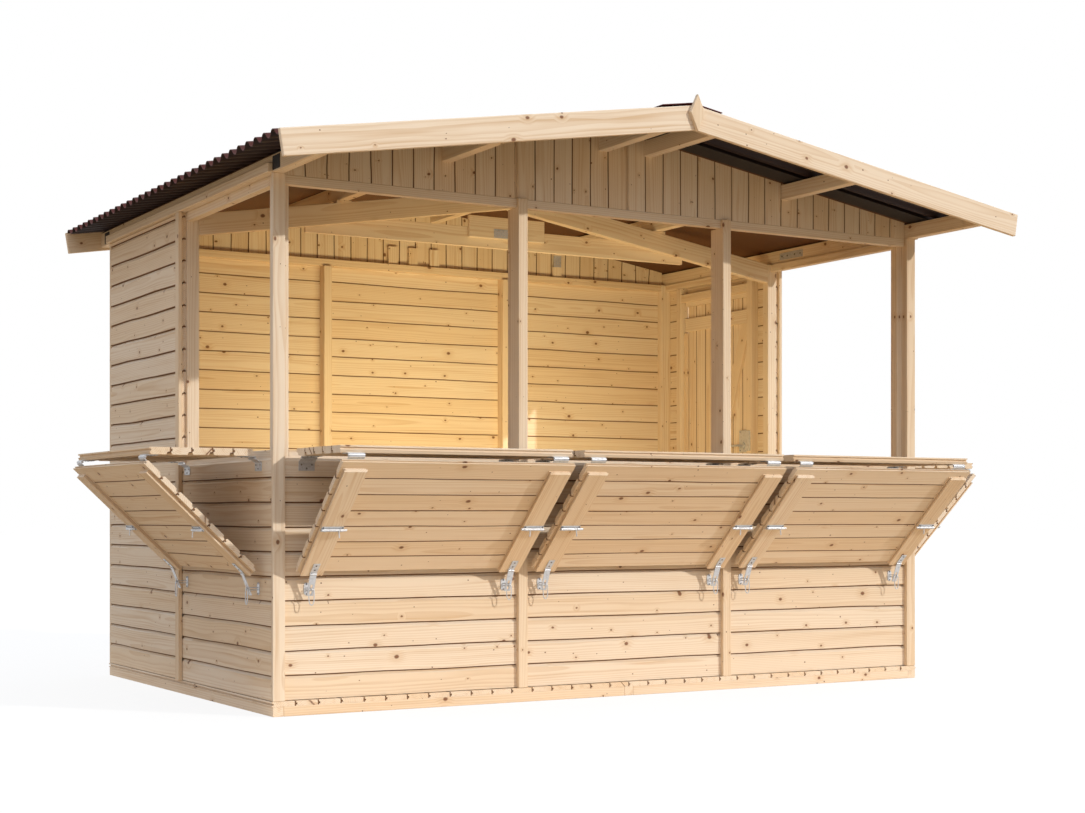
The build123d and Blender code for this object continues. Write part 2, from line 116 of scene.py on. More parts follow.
class Graph:
    """A node tree that is written one node at a time."""

    def __init__(self, tree):
        self.tree = tree
        tree.nodes.clear()

    def node(self, kind, settings=None, sockets=None):
        """Add a node, set its settings, then its sockets' values or links; return an output."""
        made = self.tree.nodes.new(kind)
        for name, value in (settings or {}).items():
            setattr(made, name, value)
        for name, value in (sockets or {}).items():
            socket = pick(made.inputs, name)
            if isinstance(value, Wire):
                self.tree.links.new(value.socket, socket)
            else:
                socket.default_value = value
        outputs = [socket for socket in made.outputs if socket.enabled]
        return Wire(self, outputs[0]) if outputs else None

    def vector(self, x, y, z):
        return self.node("ShaderNodeCombineXYZ", {}, {0: x, 1: y, 2: z})

    def apart(self, vector):
        """Split a vector into its X, Y and Z."""
        return self.node("ShaderNodeSeparateXYZ", {}, {0: vector})

    def noise(self, where, scale, detail):
        return self.node(
            "ShaderNodeTexNoise", {}, {"Vector": where, "Scale": scale, "Detail": detail}
        )

    def attribute(self, name):
        """Read a number that is stored on a mesh."""
        return self.node("ShaderNodeAttribute", {"attribute_name": name})["Fac"]

    def store(self, geometry, name, value, kind="FLOAT", domain="POINT"):
        """Store a named attribute on a geometry."""
        return self.node(
            "GeometryNodeStoreNamedAttribute",
            {"data_type": kind, "domain": domain},
            {"Geometry": geometry, "Name": name, "Value": value},
        )

    def join(self, first, second):
        """Join two geometries."""
        both = self.node("GeometryNodeJoinGeometry", {}, {"Geometry": first})
        self.tree.links.new(second.socket, both.socket.node.inputs[0])
        return both

    def realized(self, geometry, finish):
        """End a geometry tree: make its copies real and give them their material."""
        real = self.node("GeometryNodeRealizeInstances", {}, {"Geometry": geometry})
        return self.node("GeometryNodeSetMaterial", {}, {"Geometry": real, "Material": finish})

    def bump(self, height, distance):
        """Shallow relief for a shader."""
        return self.node(
            "ShaderNodeBump", {}, {"Strength": 0.2, "Distance": distance, "Height": height}
        )

    def finish(self, sockets):
        """End a material with one shader."""
        shader = self.node("ShaderNodeBsdfPrincipled", {}, sockets)
        self.node("ShaderNodeOutputMaterial", {}, {"Surface": shader})

    def blend(self, share, first, second):
        """Mix two colours."""
        mix = self.node(
            "ShaderNodeMix",
            {"data_type": "RGBA"},
            {"Factor_Float": share, "A_Color": first, "B_Color": second},
        )
        return mix["Result_Color"]

    def ease(self, value, start, end):
        """Smooth step from 0 at start to 1 at end."""
        return self.node(
            "ShaderNodeMapRange",
            {"interpolation_type": "SMOOTHSTEP"},
            {"Value": value, "From Min": start, "From Max": end},
        )


def pick(sockets, name):
    """Find a socket by number, by the name that shows, or by identifier."""
    if isinstance(name, int):
        return sockets[name]
    for socket in sockets:
        if socket.enabled and socket.name == name:
            return socket
    return next(socket for socket in sockets if socket.identifier == name)


def node_group(name, result, inputs):
    """Start a geometry-nodes tree with one result and named inputs."""
    tree = bpy.data.node_groups.new(name, "GeometryNodeTree")
    graph = Graph(tree)
    tree.interface.new_socket(result, in_out="OUTPUT", socket_type="NodeSocketGeometry")
    for label, kind in inputs:
        tree.interface.new_socket(label, in_out="INPUT", socket_type=f"NodeSocket{kind}")
    return graph, graph.node("NodeGroupInput")


def new_finish(name):
    """Start a material and return the graph that its nodes are written in."""
    material = bpy.data.materials.new(name)
    material.use_nodes = True
    return Graph(material.node_tree)


def solid_colour(colour):
    """A colour with its alpha, as a node's socket takes it."""
    return tuple(colour) + (1,)


class BoardSizes(bpy.types.PropertyGroup):
    """Sizes of the tongued boards and planed timbers."""

    wall_pitch: FloatProperty(
        name="Wall Board Pitch", description="Height covered by each wall board",
        default=0.097, unit="LENGTH",
    )
    gable_count: IntProperty(
        name="Gable Boards", description="Upright boards across each gable", default=34,
    )
    floor_count: IntProperty(
        name="Floor Boards", description="Boards across the floor", default=34,
    )
    counter_count: IntProperty(
        name="Counter Boards", description="Boards in each fold-down counter", default=5,
    )
    prop_count: IntProperty(
        name="Prop Boards", description="Boards in each prop panel", default=7,
    )
    door_count: IntProperty(
        name="Door Boards", description="Upright boards in the door", default=7,
    )
    joint_gap: FloatProperty(
        name="Joint Gap", description="Half the gap between two boards",
        default=0.001, unit="LENGTH",
    )
    unevenness: FloatProperty(
        name="Unevenness", description="How far a board may stand back from its neighbours",
        default=0.0008, unit="LENGTH",
    )
    waviness: FloatProperty(
        name="Waviness", description="How far a board's edges wander from a straight line",
        default=0.011, unit="LENGTH",
    )
    edge_round: FloatProperty(
        name="Edge Rounding",
        description="Width of the eased edges of posts, rails and roof timbers",
        default=0.0028, unit="LENGTH",
    )


class StallColours(bpy.types.PropertyGroup):
    """Colours of the stall's finishes."""

    sapwood: FloatVectorProperty(
        name="Sapwood", description="Pale wood between the growth rings",
        subtype="COLOR", default=(0.86, 0.725, 0.565),
    )
    latewood: FloatVectorProperty(
        name="Latewood", description="Darker lines of the growth rings",
        subtype="COLOR", default=(0.62, 0.40, 0.205),
    )
    heartwood: FloatVectorProperty(
        name="Heartwood", description="Warmer tone of some boards",
        subtype="COLOR", default=(0.82, 0.64, 0.44),
    )
    knot: FloatVectorProperty(
        name="Knot", description="Middle of a knot",
        subtype="COLOR", default=(0.19, 0.075, 0.036),
    )
    joint: FloatVectorProperty(
        name="Joint", description="Dust and shade in the joints between boards",
        subtype="COLOR", default=(0.18, 0.073, 0.023),
    )
    zinc: FloatVectorProperty(
        name="Zinc", description="Zinc-plated ironwork",
        subtype="COLOR", default=(0.64, 0.65, 0.67),
    )
    roof: FloatVectorProperty(
        name="Roof Sheet", description="Corrugated roof sheets",
        subtype="COLOR", default=(0.082, 0.020, 0.016),
    )
    underlay: FloatVectorProperty(
        name="Underlay", description="Boards under the roof sheets",
        subtype="COLOR", default=(0.14, 0.062, 0.026),
    )


class StageSettings(bpy.types.PropertyGroup):
    """Light and camera of the stage."""

    key_strength: FloatProperty(
        name="Key Light", description="Strength of the key light", default=2.1,
    )
    fill_strength: FloatProperty(
        name="Fill Light", description="Strength of the soft light from all round", default=0.83,
    )
    inside_power: FloatProperty(
        name="Inside Light", description="Power of the warm light inside",
        default=20.0, subtype="POWER",
    )
    focal_length: FloatProperty(
        name="Focal Length", description="Camera lens in millimetres", default=58.97,
    )


def solids(node):
    """The separate solids of a CAD node, as bmeshes with merged corners and flat faces."""
    found = []
    whole = bmesh.new()
    whole.from_mesh(frame["nodes"][node].data)
    bmesh.ops.remove_doubles(whole, verts=whole.verts, dist=1e-5)
    taken = set()
    for start in whole.verts:
        if start in taken:
            continue
        taken.add(start)
        island = [start]
        # The list grows while it is walked, so that corners and faces keep a steady order
        for vert in island:
            for edge in vert.link_edges:
                other = edge.other_vert(vert)
                if other not in taken:
                    taken.add(other)
                    island.append(other)
        solid = bmesh.new()
        copies = {vert: solid.verts.new(vert.co) for vert in island}
        for face in dict.fromkeys(face for vert in island for face in vert.link_faces):
            solid.faces.new([copies[vert] for vert in face.verts])
        solid.normal_update()
        bmesh.ops.dissolve_limit(
            solid, angle_limit=math.radians(1), verts=solid.verts, edges=solid.edges
        )
        found.append(solid)
    whole.free()
    return sorted(found, key=lambda solid: tuple(round(x, 4) for x in sum_of(solid)))


def sum_of(solid):
    """Middle of a solid's corners, used to keep solids in a steady order."""
    return sum((vert.co for vert in solid.verts), Vector()) / len(solid.verts)


def spans(solid, *axes):
    """Lowest and highest reach of a solid along each axis."""
    reaches = [[vert.co.dot(axis) for vert in solid.verts] for axis in axes]
    return [(min(reach), max(reach)) for reach in reaches]


def add_piece(name, mesh, finish, body, slot, *stands_for):
    """Add a mesh to the stall: it rides on a body and stands for the named CAD nodes."""
    piece = bpy.data.objects.new(name, mesh)
    bpy.context.scene.collection.objects.link(piece)
    mesh.materials.clear()
    mesh.materials.append(bpy.data.materials[finish])
    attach(piece, body)
    if stands_for:
        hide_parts(*stands_for)


def joined(meshes):
    """Join meshes into one, keeping their attributes."""
    parts = []
    for mesh in meshes:
        part = bpy.data.objects.new(mesh.name, mesh)
        bpy.context.scene.collection.objects.link(part)
        parts.append(part)
    with bpy.context.temp_override(
        object=parts[0],
        active_object=parts[0],
        selected_objects=parts,
        selected_editable_objects=parts,
    ):
        bpy.ops.object.join()
    whole = parts[0].data
    bpy.data.objects.remove(parts[0])
    return whole


def mark(mesh, name, values, kind="FLOAT"):
    """Store a named attribute on a mesh's corners."""
    field = "vector" if kind == "FLOAT_VECTOR" else "value"
    mesh.attributes.new(name, kind, "POINT").data.foreach_set(field, values)


def ease_edges(solid, angle, width, segments, profile):
    """Bevel the edges that are sharper than an angle in degrees."""
    sharp = [
        edge for edge in solid.edges
        if edge.is_manifold and edge.calc_face_angle() > math.radians(angle)
    ]
    bmesh.ops.bevel(
        solid, geom=sharp, offset=width, segments=segments, profile=profile, affect="EDGES",
        clamp_overlap=True,
    )
    bmesh.ops.recalc_face_normals(solid, faces=solid.faces)


def timber_mesh(solid, name, edge_round, grain=None):
    """Turn a solid into a planed timber: eased edges, and its own grain direction and tone."""
    longest = max(solid.edges, key=lambda edge: round(edge.calc_length(), 5))
    along = grain or (longest.verts[1].co - longest.verts[0].co).normalized()
    across = along.cross(UP if abs(along.dot(BACK)) > 0.7 else BACK).normalized()
    depth = along.cross(across)
    (low, high), (back, face) = spans(solid, across, depth)
    if face - back > high - low:
        across, depth = depth, -across
    ease_edges(solid, 25, edge_round, 2, 0.5)
    mesh = bpy.data.meshes.new(name)
    solid.to_mesh(mesh)
    middle = sum_of(solid)
    tone = random.Random(f"{name} {middle.x:.3f} {middle.y:.3f} {middle.z:.3f}").random()
    solid.free()
    spots = [vert.co - middle for vert in mesh.vertices]
    places = [spot.dot(axis) for spot in spots for axis in (along, across, depth)]
    mark(mesh, "board_place", places, "FLOAT_VECTOR")
    mark(mesh, "board_tone", [tone] * len(spots))
    return mesh


def box(first, second):
    """A box between two opposite corners."""
    work = bmesh.new()
    bmesh.ops.create_cube(work, size=1)
    for vert in work.verts:
        vert.co = [
            (a + b) / 2 + side * abs(b - a) for a, b, side in zip(first, second, vert.co)
        ]
    work.normal_update()
    return work


def strip(first, second, name, edge_round=0.001):
    """A small planed timber between two opposite corners."""
    return timber_mesh(box(first, second), name, edge_round)


def section_curve(name, points):
    """A closed outline as a curve object for sweeping boards, which turns it half round."""
    outline = bpy.data.curves.new(name, "CURVE")
    outline.dimensions = "3D"
    line = outline.splines.new("POLY")
    line.points.add(len(points) - 1)
    for point, (across, depth) in zip(line.points, points):
        point.co = (-across, -depth, 0, 1)
    line.use_cyclic_u = True
    section = bpy.data.objects.new(name, outline)
    bpy.context.scene.collection.objects.link(section)
    return section


TONGUE = 0.006


def tongued_section(pitch, thickness, gap, notch_depth, low_slope, high_slope, shelf, slack):
    """Outline of a tongued board: across from groove to tongue, depth from face (0) to back."""
    tongue, tongue_half, eased = TONGUE, thickness * 0.14, 0.001
    middle = max(thickness * 0.55, notch_depth + tongue_half + 2 * slack)
    top = pitch - gap
    return [
        (gap + low_slope, 0),
        (top - shelf - high_slope, 0),
        (top - shelf, -notch_depth),
        (top, -notch_depth - slack / 4),
        (top, tongue_half - middle),
        (top + tongue, tongue_half - middle - eased),
        (top + tongue, eased - tongue_half - middle),
        (top, -tongue_half - middle),
        (top, eased - thickness),
        (top - eased, -thickness),
        (gap + eased, -thickness),
        (gap, eased - thickness),
        (gap, -tongue_half - slack - middle),
        (gap + tongue + slack, -tongue_half - slack - middle),
        (gap + tongue + slack, tongue_half + slack - middle),
        (gap, tongue_half + slack - middle),
        (gap, -notch_depth),
    ]


def board_tree():
    """Geometry nodes that lay boards side by side: a section swept along X, repeated along Y."""
    graph, sizes = node_group("tongued_boards", "Boards", (
        ("Section", "Object"), ("Length", "Float"), ("Pitch", "Float"), ("Count", "Int"),
        ("Last Share", "Float"), ("Unevenness", "Float"), ("Waviness", "Float"),
        ("Rise", "Float"), ("Ridge", "Float"), ("Cover", "Float"), ("Stain", "Float"),
        ("Seed", "Int"), ("Timber", "Material"),
    ))
    stations, rim_width, still_border = 13, 0.012, 0.07
    section = graph.node("GeometryNodeObjectInfo", {}, {"Object": sizes["Section"]})["Geometry"]
    line = graph.node(
        "GeometryNodeCurvePrimitiveLine",
        {},
        {"Start": (0, 0, 0), "End": graph.vector(sizes["Length"], 0, 0)},
    )
    line = graph.node(
        "GeometryNodeResampleCurve", {"mode": "COUNT"}, {"Curve": line, "Count": stations}
    )
    board = graph.node(
        "GeometryNodeCurveToMesh",
        {},
        {"Curve": line, "Profile Curve": section, "Fill Caps": True},
    )
    spot = graph.apart(graph.node("GeometryNodeInputPosition"))
    place = graph.vector(spot["X"], spot["Y"] - sizes["Pitch"] * 0.5, spot["Z"])
    board = graph.store(board, "board_place", place, "FLOAT_VECTOR")
    board = graph.store(board, "board_width", sizes["Pitch"] * sizes["Stain"])
    index = graph.node("GeometryNodeInputIndex")

    def chance(offset):
        return graph.node(
            "FunctionNodeRandomValue",
            {"data_type": "FLOAT"},
            {"ID": index, "Seed": sizes["Seed"] + offset},
        )

    rows = graph.node(
        "GeometryNodeMeshLine",
        {"mode": "OFFSET"},
        {"Count": sizes["Count"], "Offset": graph.vector(0, sizes["Pitch"], 0)},
    )
    sunk = graph.vector(0, 0, 0 - sizes["Unevenness"] * chance(1))
    rows = graph.node("GeometryNodeSetPosition", {}, {"Geometry": rows, "Offset": sunk})
    last = index > sizes["Count"] - 1.5
    share = 1 - last * (1 - sizes["Last Share"])
    boards = graph.node(
        "GeometryNodeInstanceOnPoints",
        {},
        {"Points": rows, "Instance": board, "Scale": graph.vector(1, share, 1)},
    )
    boards = graph.store(boards, "board_tone", chance(2), domain="INSTANCE")
    boards = graph.node("GeometryNodeRealizeInstances", {}, {"Geometry": boards})
    spot = graph.apart(graph.node("GeometryNodeInputPosition"))
    border = spot["Y"].least(sizes["Cover"] - spot["Y"])
    boards = graph.store(boards, "board_rim", 1 - (border > rim_width))
    swing = graph.noise(
        graph.vector(spot["X"] * 1.5, spot["Y"] * 9, sizes["Seed"] * 0.37), 1.3, 1.0
    )
    wander = (swing - 0.5) * sizes["Waviness"] * graph.ease(border, 0.0, still_border)
    squash = 1 - sizes["Rise"] * abs(spot["Y"] - sizes["Ridge"]) / sizes["Length"]
    moved = graph.vector(spot["X"] * squash, spot["Y"] + wander, spot["Z"])
    boards = graph.node("GeometryNodeSetPosition", {}, {"Geometry": boards, "Position": moved})
    graph.node("NodeGroupOutput", {}, {"Boards": graph.realized(boards, sizes["Timber"])})


def evaluated(tree, name, mesh=None, **inputs):
    """Run a geometry-nodes tree with these inputs and return the plain mesh that it makes."""
    holder = bpy.data.objects.new(name, mesh or bpy.data.meshes.new(name))
    bpy.context.scene.collection.objects.link(holder)
    modifier = holder.modifiers.new(name, "NODES")
    modifier.node_group = tree
    sockets = [item for item in tree.interface.items_tree if item.in_out == "INPUT"]
    identifiers = {socket.name: socket.identifier for socket in sockets}
    for key, value in inputs.items():
        modifier[identifiers[key.replace("_", " ").title()]] = value
    bpy.context.view_layer.update()
    depsgraph = bpy.context.evaluated_depsgraph_get()
    mesh = bpy.data.meshes.new_from_object(holder.evaluated_get(depsgraph))
    mesh.name = name
    bpy.data.objects.remove(holder)
    return mesh


def outward(mesh):
    """Point a mesh's faces outwards and shade them flat."""
    work = bmesh.new()
    work.from_mesh(mesh)
    bmesh.ops.recalc_face_normals(work, faces=work.faces)
    work.to_mesh(mesh)
    work.free()
    mesh.shade_flat()
    return mesh


class Panel:
    """A rectangle to be boarded: where it lies, which way its boards run, and how big it is."""

    def __init__(self, solid, across, depth, thickness=None):
        self.across, self.depth = across, depth
        self.along = across.cross(depth)
        (start, end), (low, high), (back, face) = spans(solid, self.along, across, depth)
        self.length, self.cover = end - start, high - low
        self.thickness = thickness or face - back
        self.matrix = Matrix((self.along, across, depth)).transposed().to_4x4()
        self.matrix.translation = self.along * start + across * low + depth * face

    def narrow(self, low, high):
        """Keep the part of the panel between two places across its boards."""
        self.cover = high - low
        self.matrix.translation += self.across * low
        return self


# Joint shapes: notch depth, slopes at the groove and tongue edges, shelf at the notch's foot,
# tongue's slack
WALL_JOINT = (0.0078, 0.0016, 0.009, 0.0038, 0.0007)
COUNTER_JOINT = (0.011, 0.0055, 0.0055, 0.010, 0.0009)
PROP_JOINT = (0.0085, 0.0055, 0.0055, 0.009, 0.0009)
TIGHT_JOINT = (0.0022, 0.0012, 0.0012, 0.0004, 0.0007)
FLOOR_JOINT = (0.0030, 0.0012, 0.0012, 0.0, 0.0013)
BATTEN_JOINT = (0.001, 0.0015, 0.0015, 0.0, 0.0016)


def board_panel(
    panel, name, joint, seed, pitch=None, count=None, rise=0.0, ridge=0.0, stain=1.0
):
    """Board a panel, by pitch with a narrower last board or by a whole number of boards."""
    sizes = bpy.context.scene.stall_boards
    if count:
        pitch, last = panel.cover / count, 1.0
    else:
        count = math.ceil(panel.cover / pitch - 0.02)
        last = (panel.cover - (count - 1) * pitch) / pitch
    tongue = TONGUE - sizes.joint_gap
    last *= pitch / (pitch + tongue)
    outline = tongued_section(pitch, panel.thickness, sizes.joint_gap, *joint)
    section = section_curve(name, outline)
    mesh = evaluated(
        bpy.data.node_groups["tongued_boards"],
        name,
        section=section,
        length=panel.length,
        pitch=pitch,
        count=count,
        last_share=last,
        unevenness=sizes.unevenness,
        waviness=sizes.waviness,
        rise=rise,
        ridge=ridge,
        cover=panel.cover,
        stain=stain,
        seed=seed,
        timber=bpy.data.materials["planed_pine"],
    )
    bpy.data.objects.remove(section)
    mesh.transform(panel.matrix)
    return outward(mesh)


def plated_mesh(solid, name, edge=0.0005):
    """Copy an iron solid with eased edges and smooth rounds."""
    ease_edges(solid, 40, edge, 1, 0.0)
    mesh = bpy.data.meshes.new(name)
    solid.to_mesh(mesh)
    solid.free()
    return rounded(mesh)


def rounded(mesh):
    """Shade a mesh smooth, but for its sharp edges."""
    mesh.shade_smooth()
    mesh.set_sharp_from_angle(angle=math.radians(32))
    return mesh


def thickened(outline, thickness):
    """A flat outline of points, thickened by a vector."""
    work = bmesh.new()
    low = [work.verts.new(point) for point in outline]
    high = [work.verts.new(Vector(point) + thickness) for point in outline]
    for face in [low[::-1], high] + [
        (low[step - 1], low[step], high[step], high[step - 1]) for step in range(len(low))
    ]:
        work.faces.new(face)
    work.normal_update()
    return work


def slab(name, outline, thickness, edge=0.0005):
    """An iron plate: an outline of points, thickened by a vector, with eased edges."""
    return plated_mesh(thickened(outline, thickness), name, edge)


def round_cornered(middle, along, across, length, width, corner, steps=5):
    """Outline of a rectangle with rounded corners."""
    points = []
    for quarter, (sx, sy) in enumerate(((1, 1), (-1, 1), (-1, -1), (1, -1))):
        centre = middle + along * sx * (length / 2 - corner) + across * sy * (width / 2 - corner)
        for step in range(steps):
            angle = math.pi / 2 * (quarter + step / (steps - 1))
            points.append(
                centre + along * corner * math.cos(angle) + across * corner * math.sin(angle)
            )
    return points


def bent_wire(name, points, radius, closed=False, smooth=True):
    """A round wire or bar bent along points."""
    line = bpy.data.curves.new(name, "CURVE")
    line.dimensions = "3D"
    line.bevel_depth, line.bevel_resolution, line.resolution_u = radius, 2, 5
    line.use_fill_caps = not closed
    spline = line.splines.new("NURBS" if smooth else "POLY")
    spline.points.add(len(points) - 1)
    for point, co in zip(spline.points, points):
        point.co = tuple(co) + (1,)
    if smooth:
        spline.order_u = 3
    spline.use_endpoint_u = not closed
    spline.use_cyclic_u = closed
    bar = bpy.data.objects.new(name, line)
    bpy.context.scene.collection.objects.link(bar)
    bpy.context.view_layer.update()
    depsgraph = bpy.context.evaluated_depsgraph_get()
    mesh = bpy.data.meshes.new_from_object(bar.evaluated_get(depsgraph))
    bpy.data.objects.remove(bar)
    return rounded(outward(mesh))


def collar(name, middle, axis, radius, width):
    """A short band round a rod."""
    work = bmesh.new()
    bmesh.ops.create_cone(
        work, cap_ends=True, segments=20, radius1=radius, radius2=radius, depth=width
    )
    turn = axis.to_track_quat("Z", "Y").to_matrix().to_4x4()
    turn.translation = middle
    bmesh.ops.transform(work, matrix=turn, verts=work.verts)
    work.normal_update()
    return plated_mesh(work, name, 0.0008)


def ring(turns, size, level):
    """Points round the Z axis at the given turns."""
    return [(size * math.cos(turn), size * math.sin(turn), level) for turn in turns]


def screw_head(name, radius, height):
    """A low domed screw head with a cross recess."""
    arm, reach = 0.13 * radius, 0.52 * radius
    cross = [
        (reach, arm), (arm, arm), (arm, reach), (-arm, reach), (-arm, arm), (-reach, arm),
        (-reach, -arm), (-arm, -arm), (-arm, -reach), (arm, -reach), (arm, -arm), (reach, -arm),
    ]

    turns = [2 * math.pi * (step + 0.5) / len(cross) for step in range(len(cross))]
    rings = [ring(turns, radius, -0.2 * height), ring(turns, radius, 0.3 * height)]
    rings.append(ring(turns, 0.72 * radius, height))
    rings += [[(x, y, level) for x, y in cross] for level in (height, 0.25 * height)]
    return hidden_part(name, rings)


def roof_screw_head(name, washer, head, height):
    """A six-sided roofing screw on its sealing washer."""
    rings = []
    for size, level, sides in (
        (washer, -0.002, 12), (washer, 0.0012, 12), (0.8 * washer, 0.0022, 12),
        (head, 0.0022, 6), (head, height * 0.85, 6), (0.85 * head, height, 6),
    ):
        turns = [2 * math.pi * math.floor(step * sides / 12) / sides for step in range(12)]
        rings.append(ring(turns, size, level))
    return hidden_part(name, rings)


def hidden_part(name, rings):
    """Skin rings of points, and keep the part as an object that the fastener tree can copy."""
    work = bmesh.new()
    rings = [[work.verts.new(point) for point in points] for points in rings]
    for low, high in zip(rings, rings[1:]):
        for step in range(len(low)):
            after = (step + 1) % len(low)
            work.faces.new((low[step], low[after], high[after], high[step]))
    work.faces.new(rings[-1])
    work.faces.new(reversed(rings[0]))
    bmesh.ops.remove_doubles(work, verts=work.verts, dist=1e-6)
    bmesh.ops.recalc_face_normals(work, faces=work.faces)
    mesh = bpy.data.meshes.new(name)
    work.to_mesh(mesh)
    work.free()
    mark(mesh, "screw_head", [1.0] * len(mesh.vertices))
    part = bpy.data.objects.new(name, mesh)
    bpy.context.scene.collection.objects.link(part)
    return part


def fastener_tree():
    """Geometry nodes that set a fastener on every seat point, square to it and turned at random."""
    graph, inputs = node_group("seated_fasteners", "Fasteners", (
        ("Seats", "Geometry"), ("Fastener", "Object"), ("Seed", "Int"), ("Finish", "Material"),
    ))
    head = graph.node("GeometryNodeObjectInfo", {}, {"Object": inputs["Fastener"]})["Geometry"]
    normal = graph.node(
        "GeometryNodeInputNamedAttribute", {"data_type": "FLOAT_VECTOR"}, {"Name": "seat_normal"}
    )
    square = graph.node("FunctionNodeAlignRotationToVector", {"axis": "Z"}, {"Vector": normal})
    turn = graph.node(
        "FunctionNodeRandomValue",
        {"data_type": "FLOAT"},
        {"Max": 2 * math.pi, "Seed": inputs["Seed"]},
    )
    turn = graph.node(
        "FunctionNodeAxisAngleToRotation", {}, {"Axis": (0, 0, 1), "Angle": turn}
    )
    turned = graph.node(
        "FunctionNodeRotateRotation",
        {"rotation_space": "LOCAL"},
        {"Rotation": square, "Rotate By": turn},
    )
    heads = graph.node(
        "GeometryNodeInstanceOnPoints",
        {},
        {"Points": inputs["Seats"], "Instance": head, "Rotation": turned},
    )
    graph.node("NodeGroupOutput", {}, {"Fasteners": graph.realized(heads, inputs["Finish"])})


def fasteners(name, seats, head, finish, seed):
    """Set a fastener on every seat, each a place and a direction, as one mesh."""
    points = bpy.data.meshes.new(f"{name}_seats")
    points.from_pydata([tuple(place) for place, _ in seats], [], [])
    normals = [value for _, normal in seats for value in normal]
    mark(points, "seat_normal", normals, "FLOAT_VECTOR")
    mesh = evaluated(
        bpy.data.node_groups["seated_fasteners"], name, points,
        fastener=head, seed=seed, finish=bpy.data.materials[finish],
    )
    return rounded(mesh)


def plate_tree():
    """Geometry nodes for a perforated plate: an outline with rows of holes, thickened."""
    graph, sizes = node_group("perforated_plate", "Plate", (
        ("Length", "Float"), ("Width", "Float"), ("Thickness", "Float"), ("Columns", "Int"),
        ("Rows", "Int"), ("Hole", "Float"), ("Margin", "Float"), ("Finish", "Material"),
    ))
    outline = graph.node(
        "GeometryNodeCurvePrimitiveQuadrilateral",
        {},
        {"Width": sizes["Length"], "Height": sizes["Width"]},
    )
    grid = graph.node(
        "GeometryNodeMeshGrid",
        {},
        {
            "Size X": sizes["Length"] - 2 * sizes["Margin"],
            "Size Y": sizes["Width"] - 2 * sizes["Margin"],
            "Vertices X": sizes["Columns"],
            "Vertices Y": sizes["Rows"],
        },
    )
    circle = graph.node(
        "GeometryNodeCurvePrimitiveCircle", {}, {"Resolution": 12, "Radius": sizes["Hole"]}
    )
    holes = graph.node("GeometryNodeInstanceOnPoints", {}, {"Points": grid, "Instance": circle})
    holes = graph.node("GeometryNodeRealizeInstances", {}, {"Geometry": holes})
    flat = graph.node("GeometryNodeFillCurve", {}, {"Curve": graph.join(outline, holes)})
    raised = graph.node(
        "GeometryNodeExtrudeMesh",
        {"mode": "FACES"},
        {
            "Mesh": flat,
            "Offset": (0, 0, 1),
            "Offset Scale": sizes["Thickness"],
            "Individual": False,
        },
    )
    back = graph.node("GeometryNodeFlipFaces", {}, {"Mesh": flat})
    whole = graph.node(
        "GeometryNodeMergeByDistance",
        {},
        {"Geometry": graph.join(raised, back), "Distance": 0.00001},
    )
    graph.node("NodeGroupOutput", {}, {"Plate": graph.realized(whole, sizes["Finish"])})


def perforated_plate(middle, along, facing, length, width, columns, rows, margin):
    """A perforated nail plate that lies on a timber's face."""
    mesh = evaluated(
        bpy.data.node_groups["perforated_plate"], "nail_plates", length=length, width=width,
        thickness=0.0018, columns=columns, rows=rows, hole=0.0022, margin=margin,
        finish=bpy.data.materials["zinc_plate"],
    )
    placed = Matrix((along, facing.cross(along), facing)).transposed().to_4x4()
    placed.translation = middle
    mesh.transform(placed)
    return outward(mesh)


class Flap:
    """Directions and hinge lines of a fold-down counter and its prop, read from their joints."""

    hasp_lean = math.radians(22)
    pin_along, pin_out = 0.064, 0.005
    hinge_to_wall = 0.026

    def __init__(self, name):
        counter, prop, hasp = (
            JOINTS[f"{name}_{part}_hinge"] for part in ("counter", "prop", "hasp")
        )
        self.name = name
        self.axis = Vector(counter["axis"])
        self.out = UP.cross(self.axis)
        self.counter_hinge = Vector(counter["pos_m"])
        self.prop_hinge = Vector(prop["pos_m"])
        slant = math.pi - math.radians(prop["range_deg"][1])
        self.down = -self.out * math.cos(slant) - UP * math.sin(slant)
        self.face = self.out * math.sin(slant) - UP * math.cos(slant)
        strap = -self.out * math.sin(self.hasp_lean) - UP * math.cos(self.hasp_lean)
        self.pin = Vector(hasp["pos_m"]) + strap * self.pin_along + self.out * self.pin_out
        self.wall = self.counter_hinge.dot(self.out) - self.hinge_to_wall


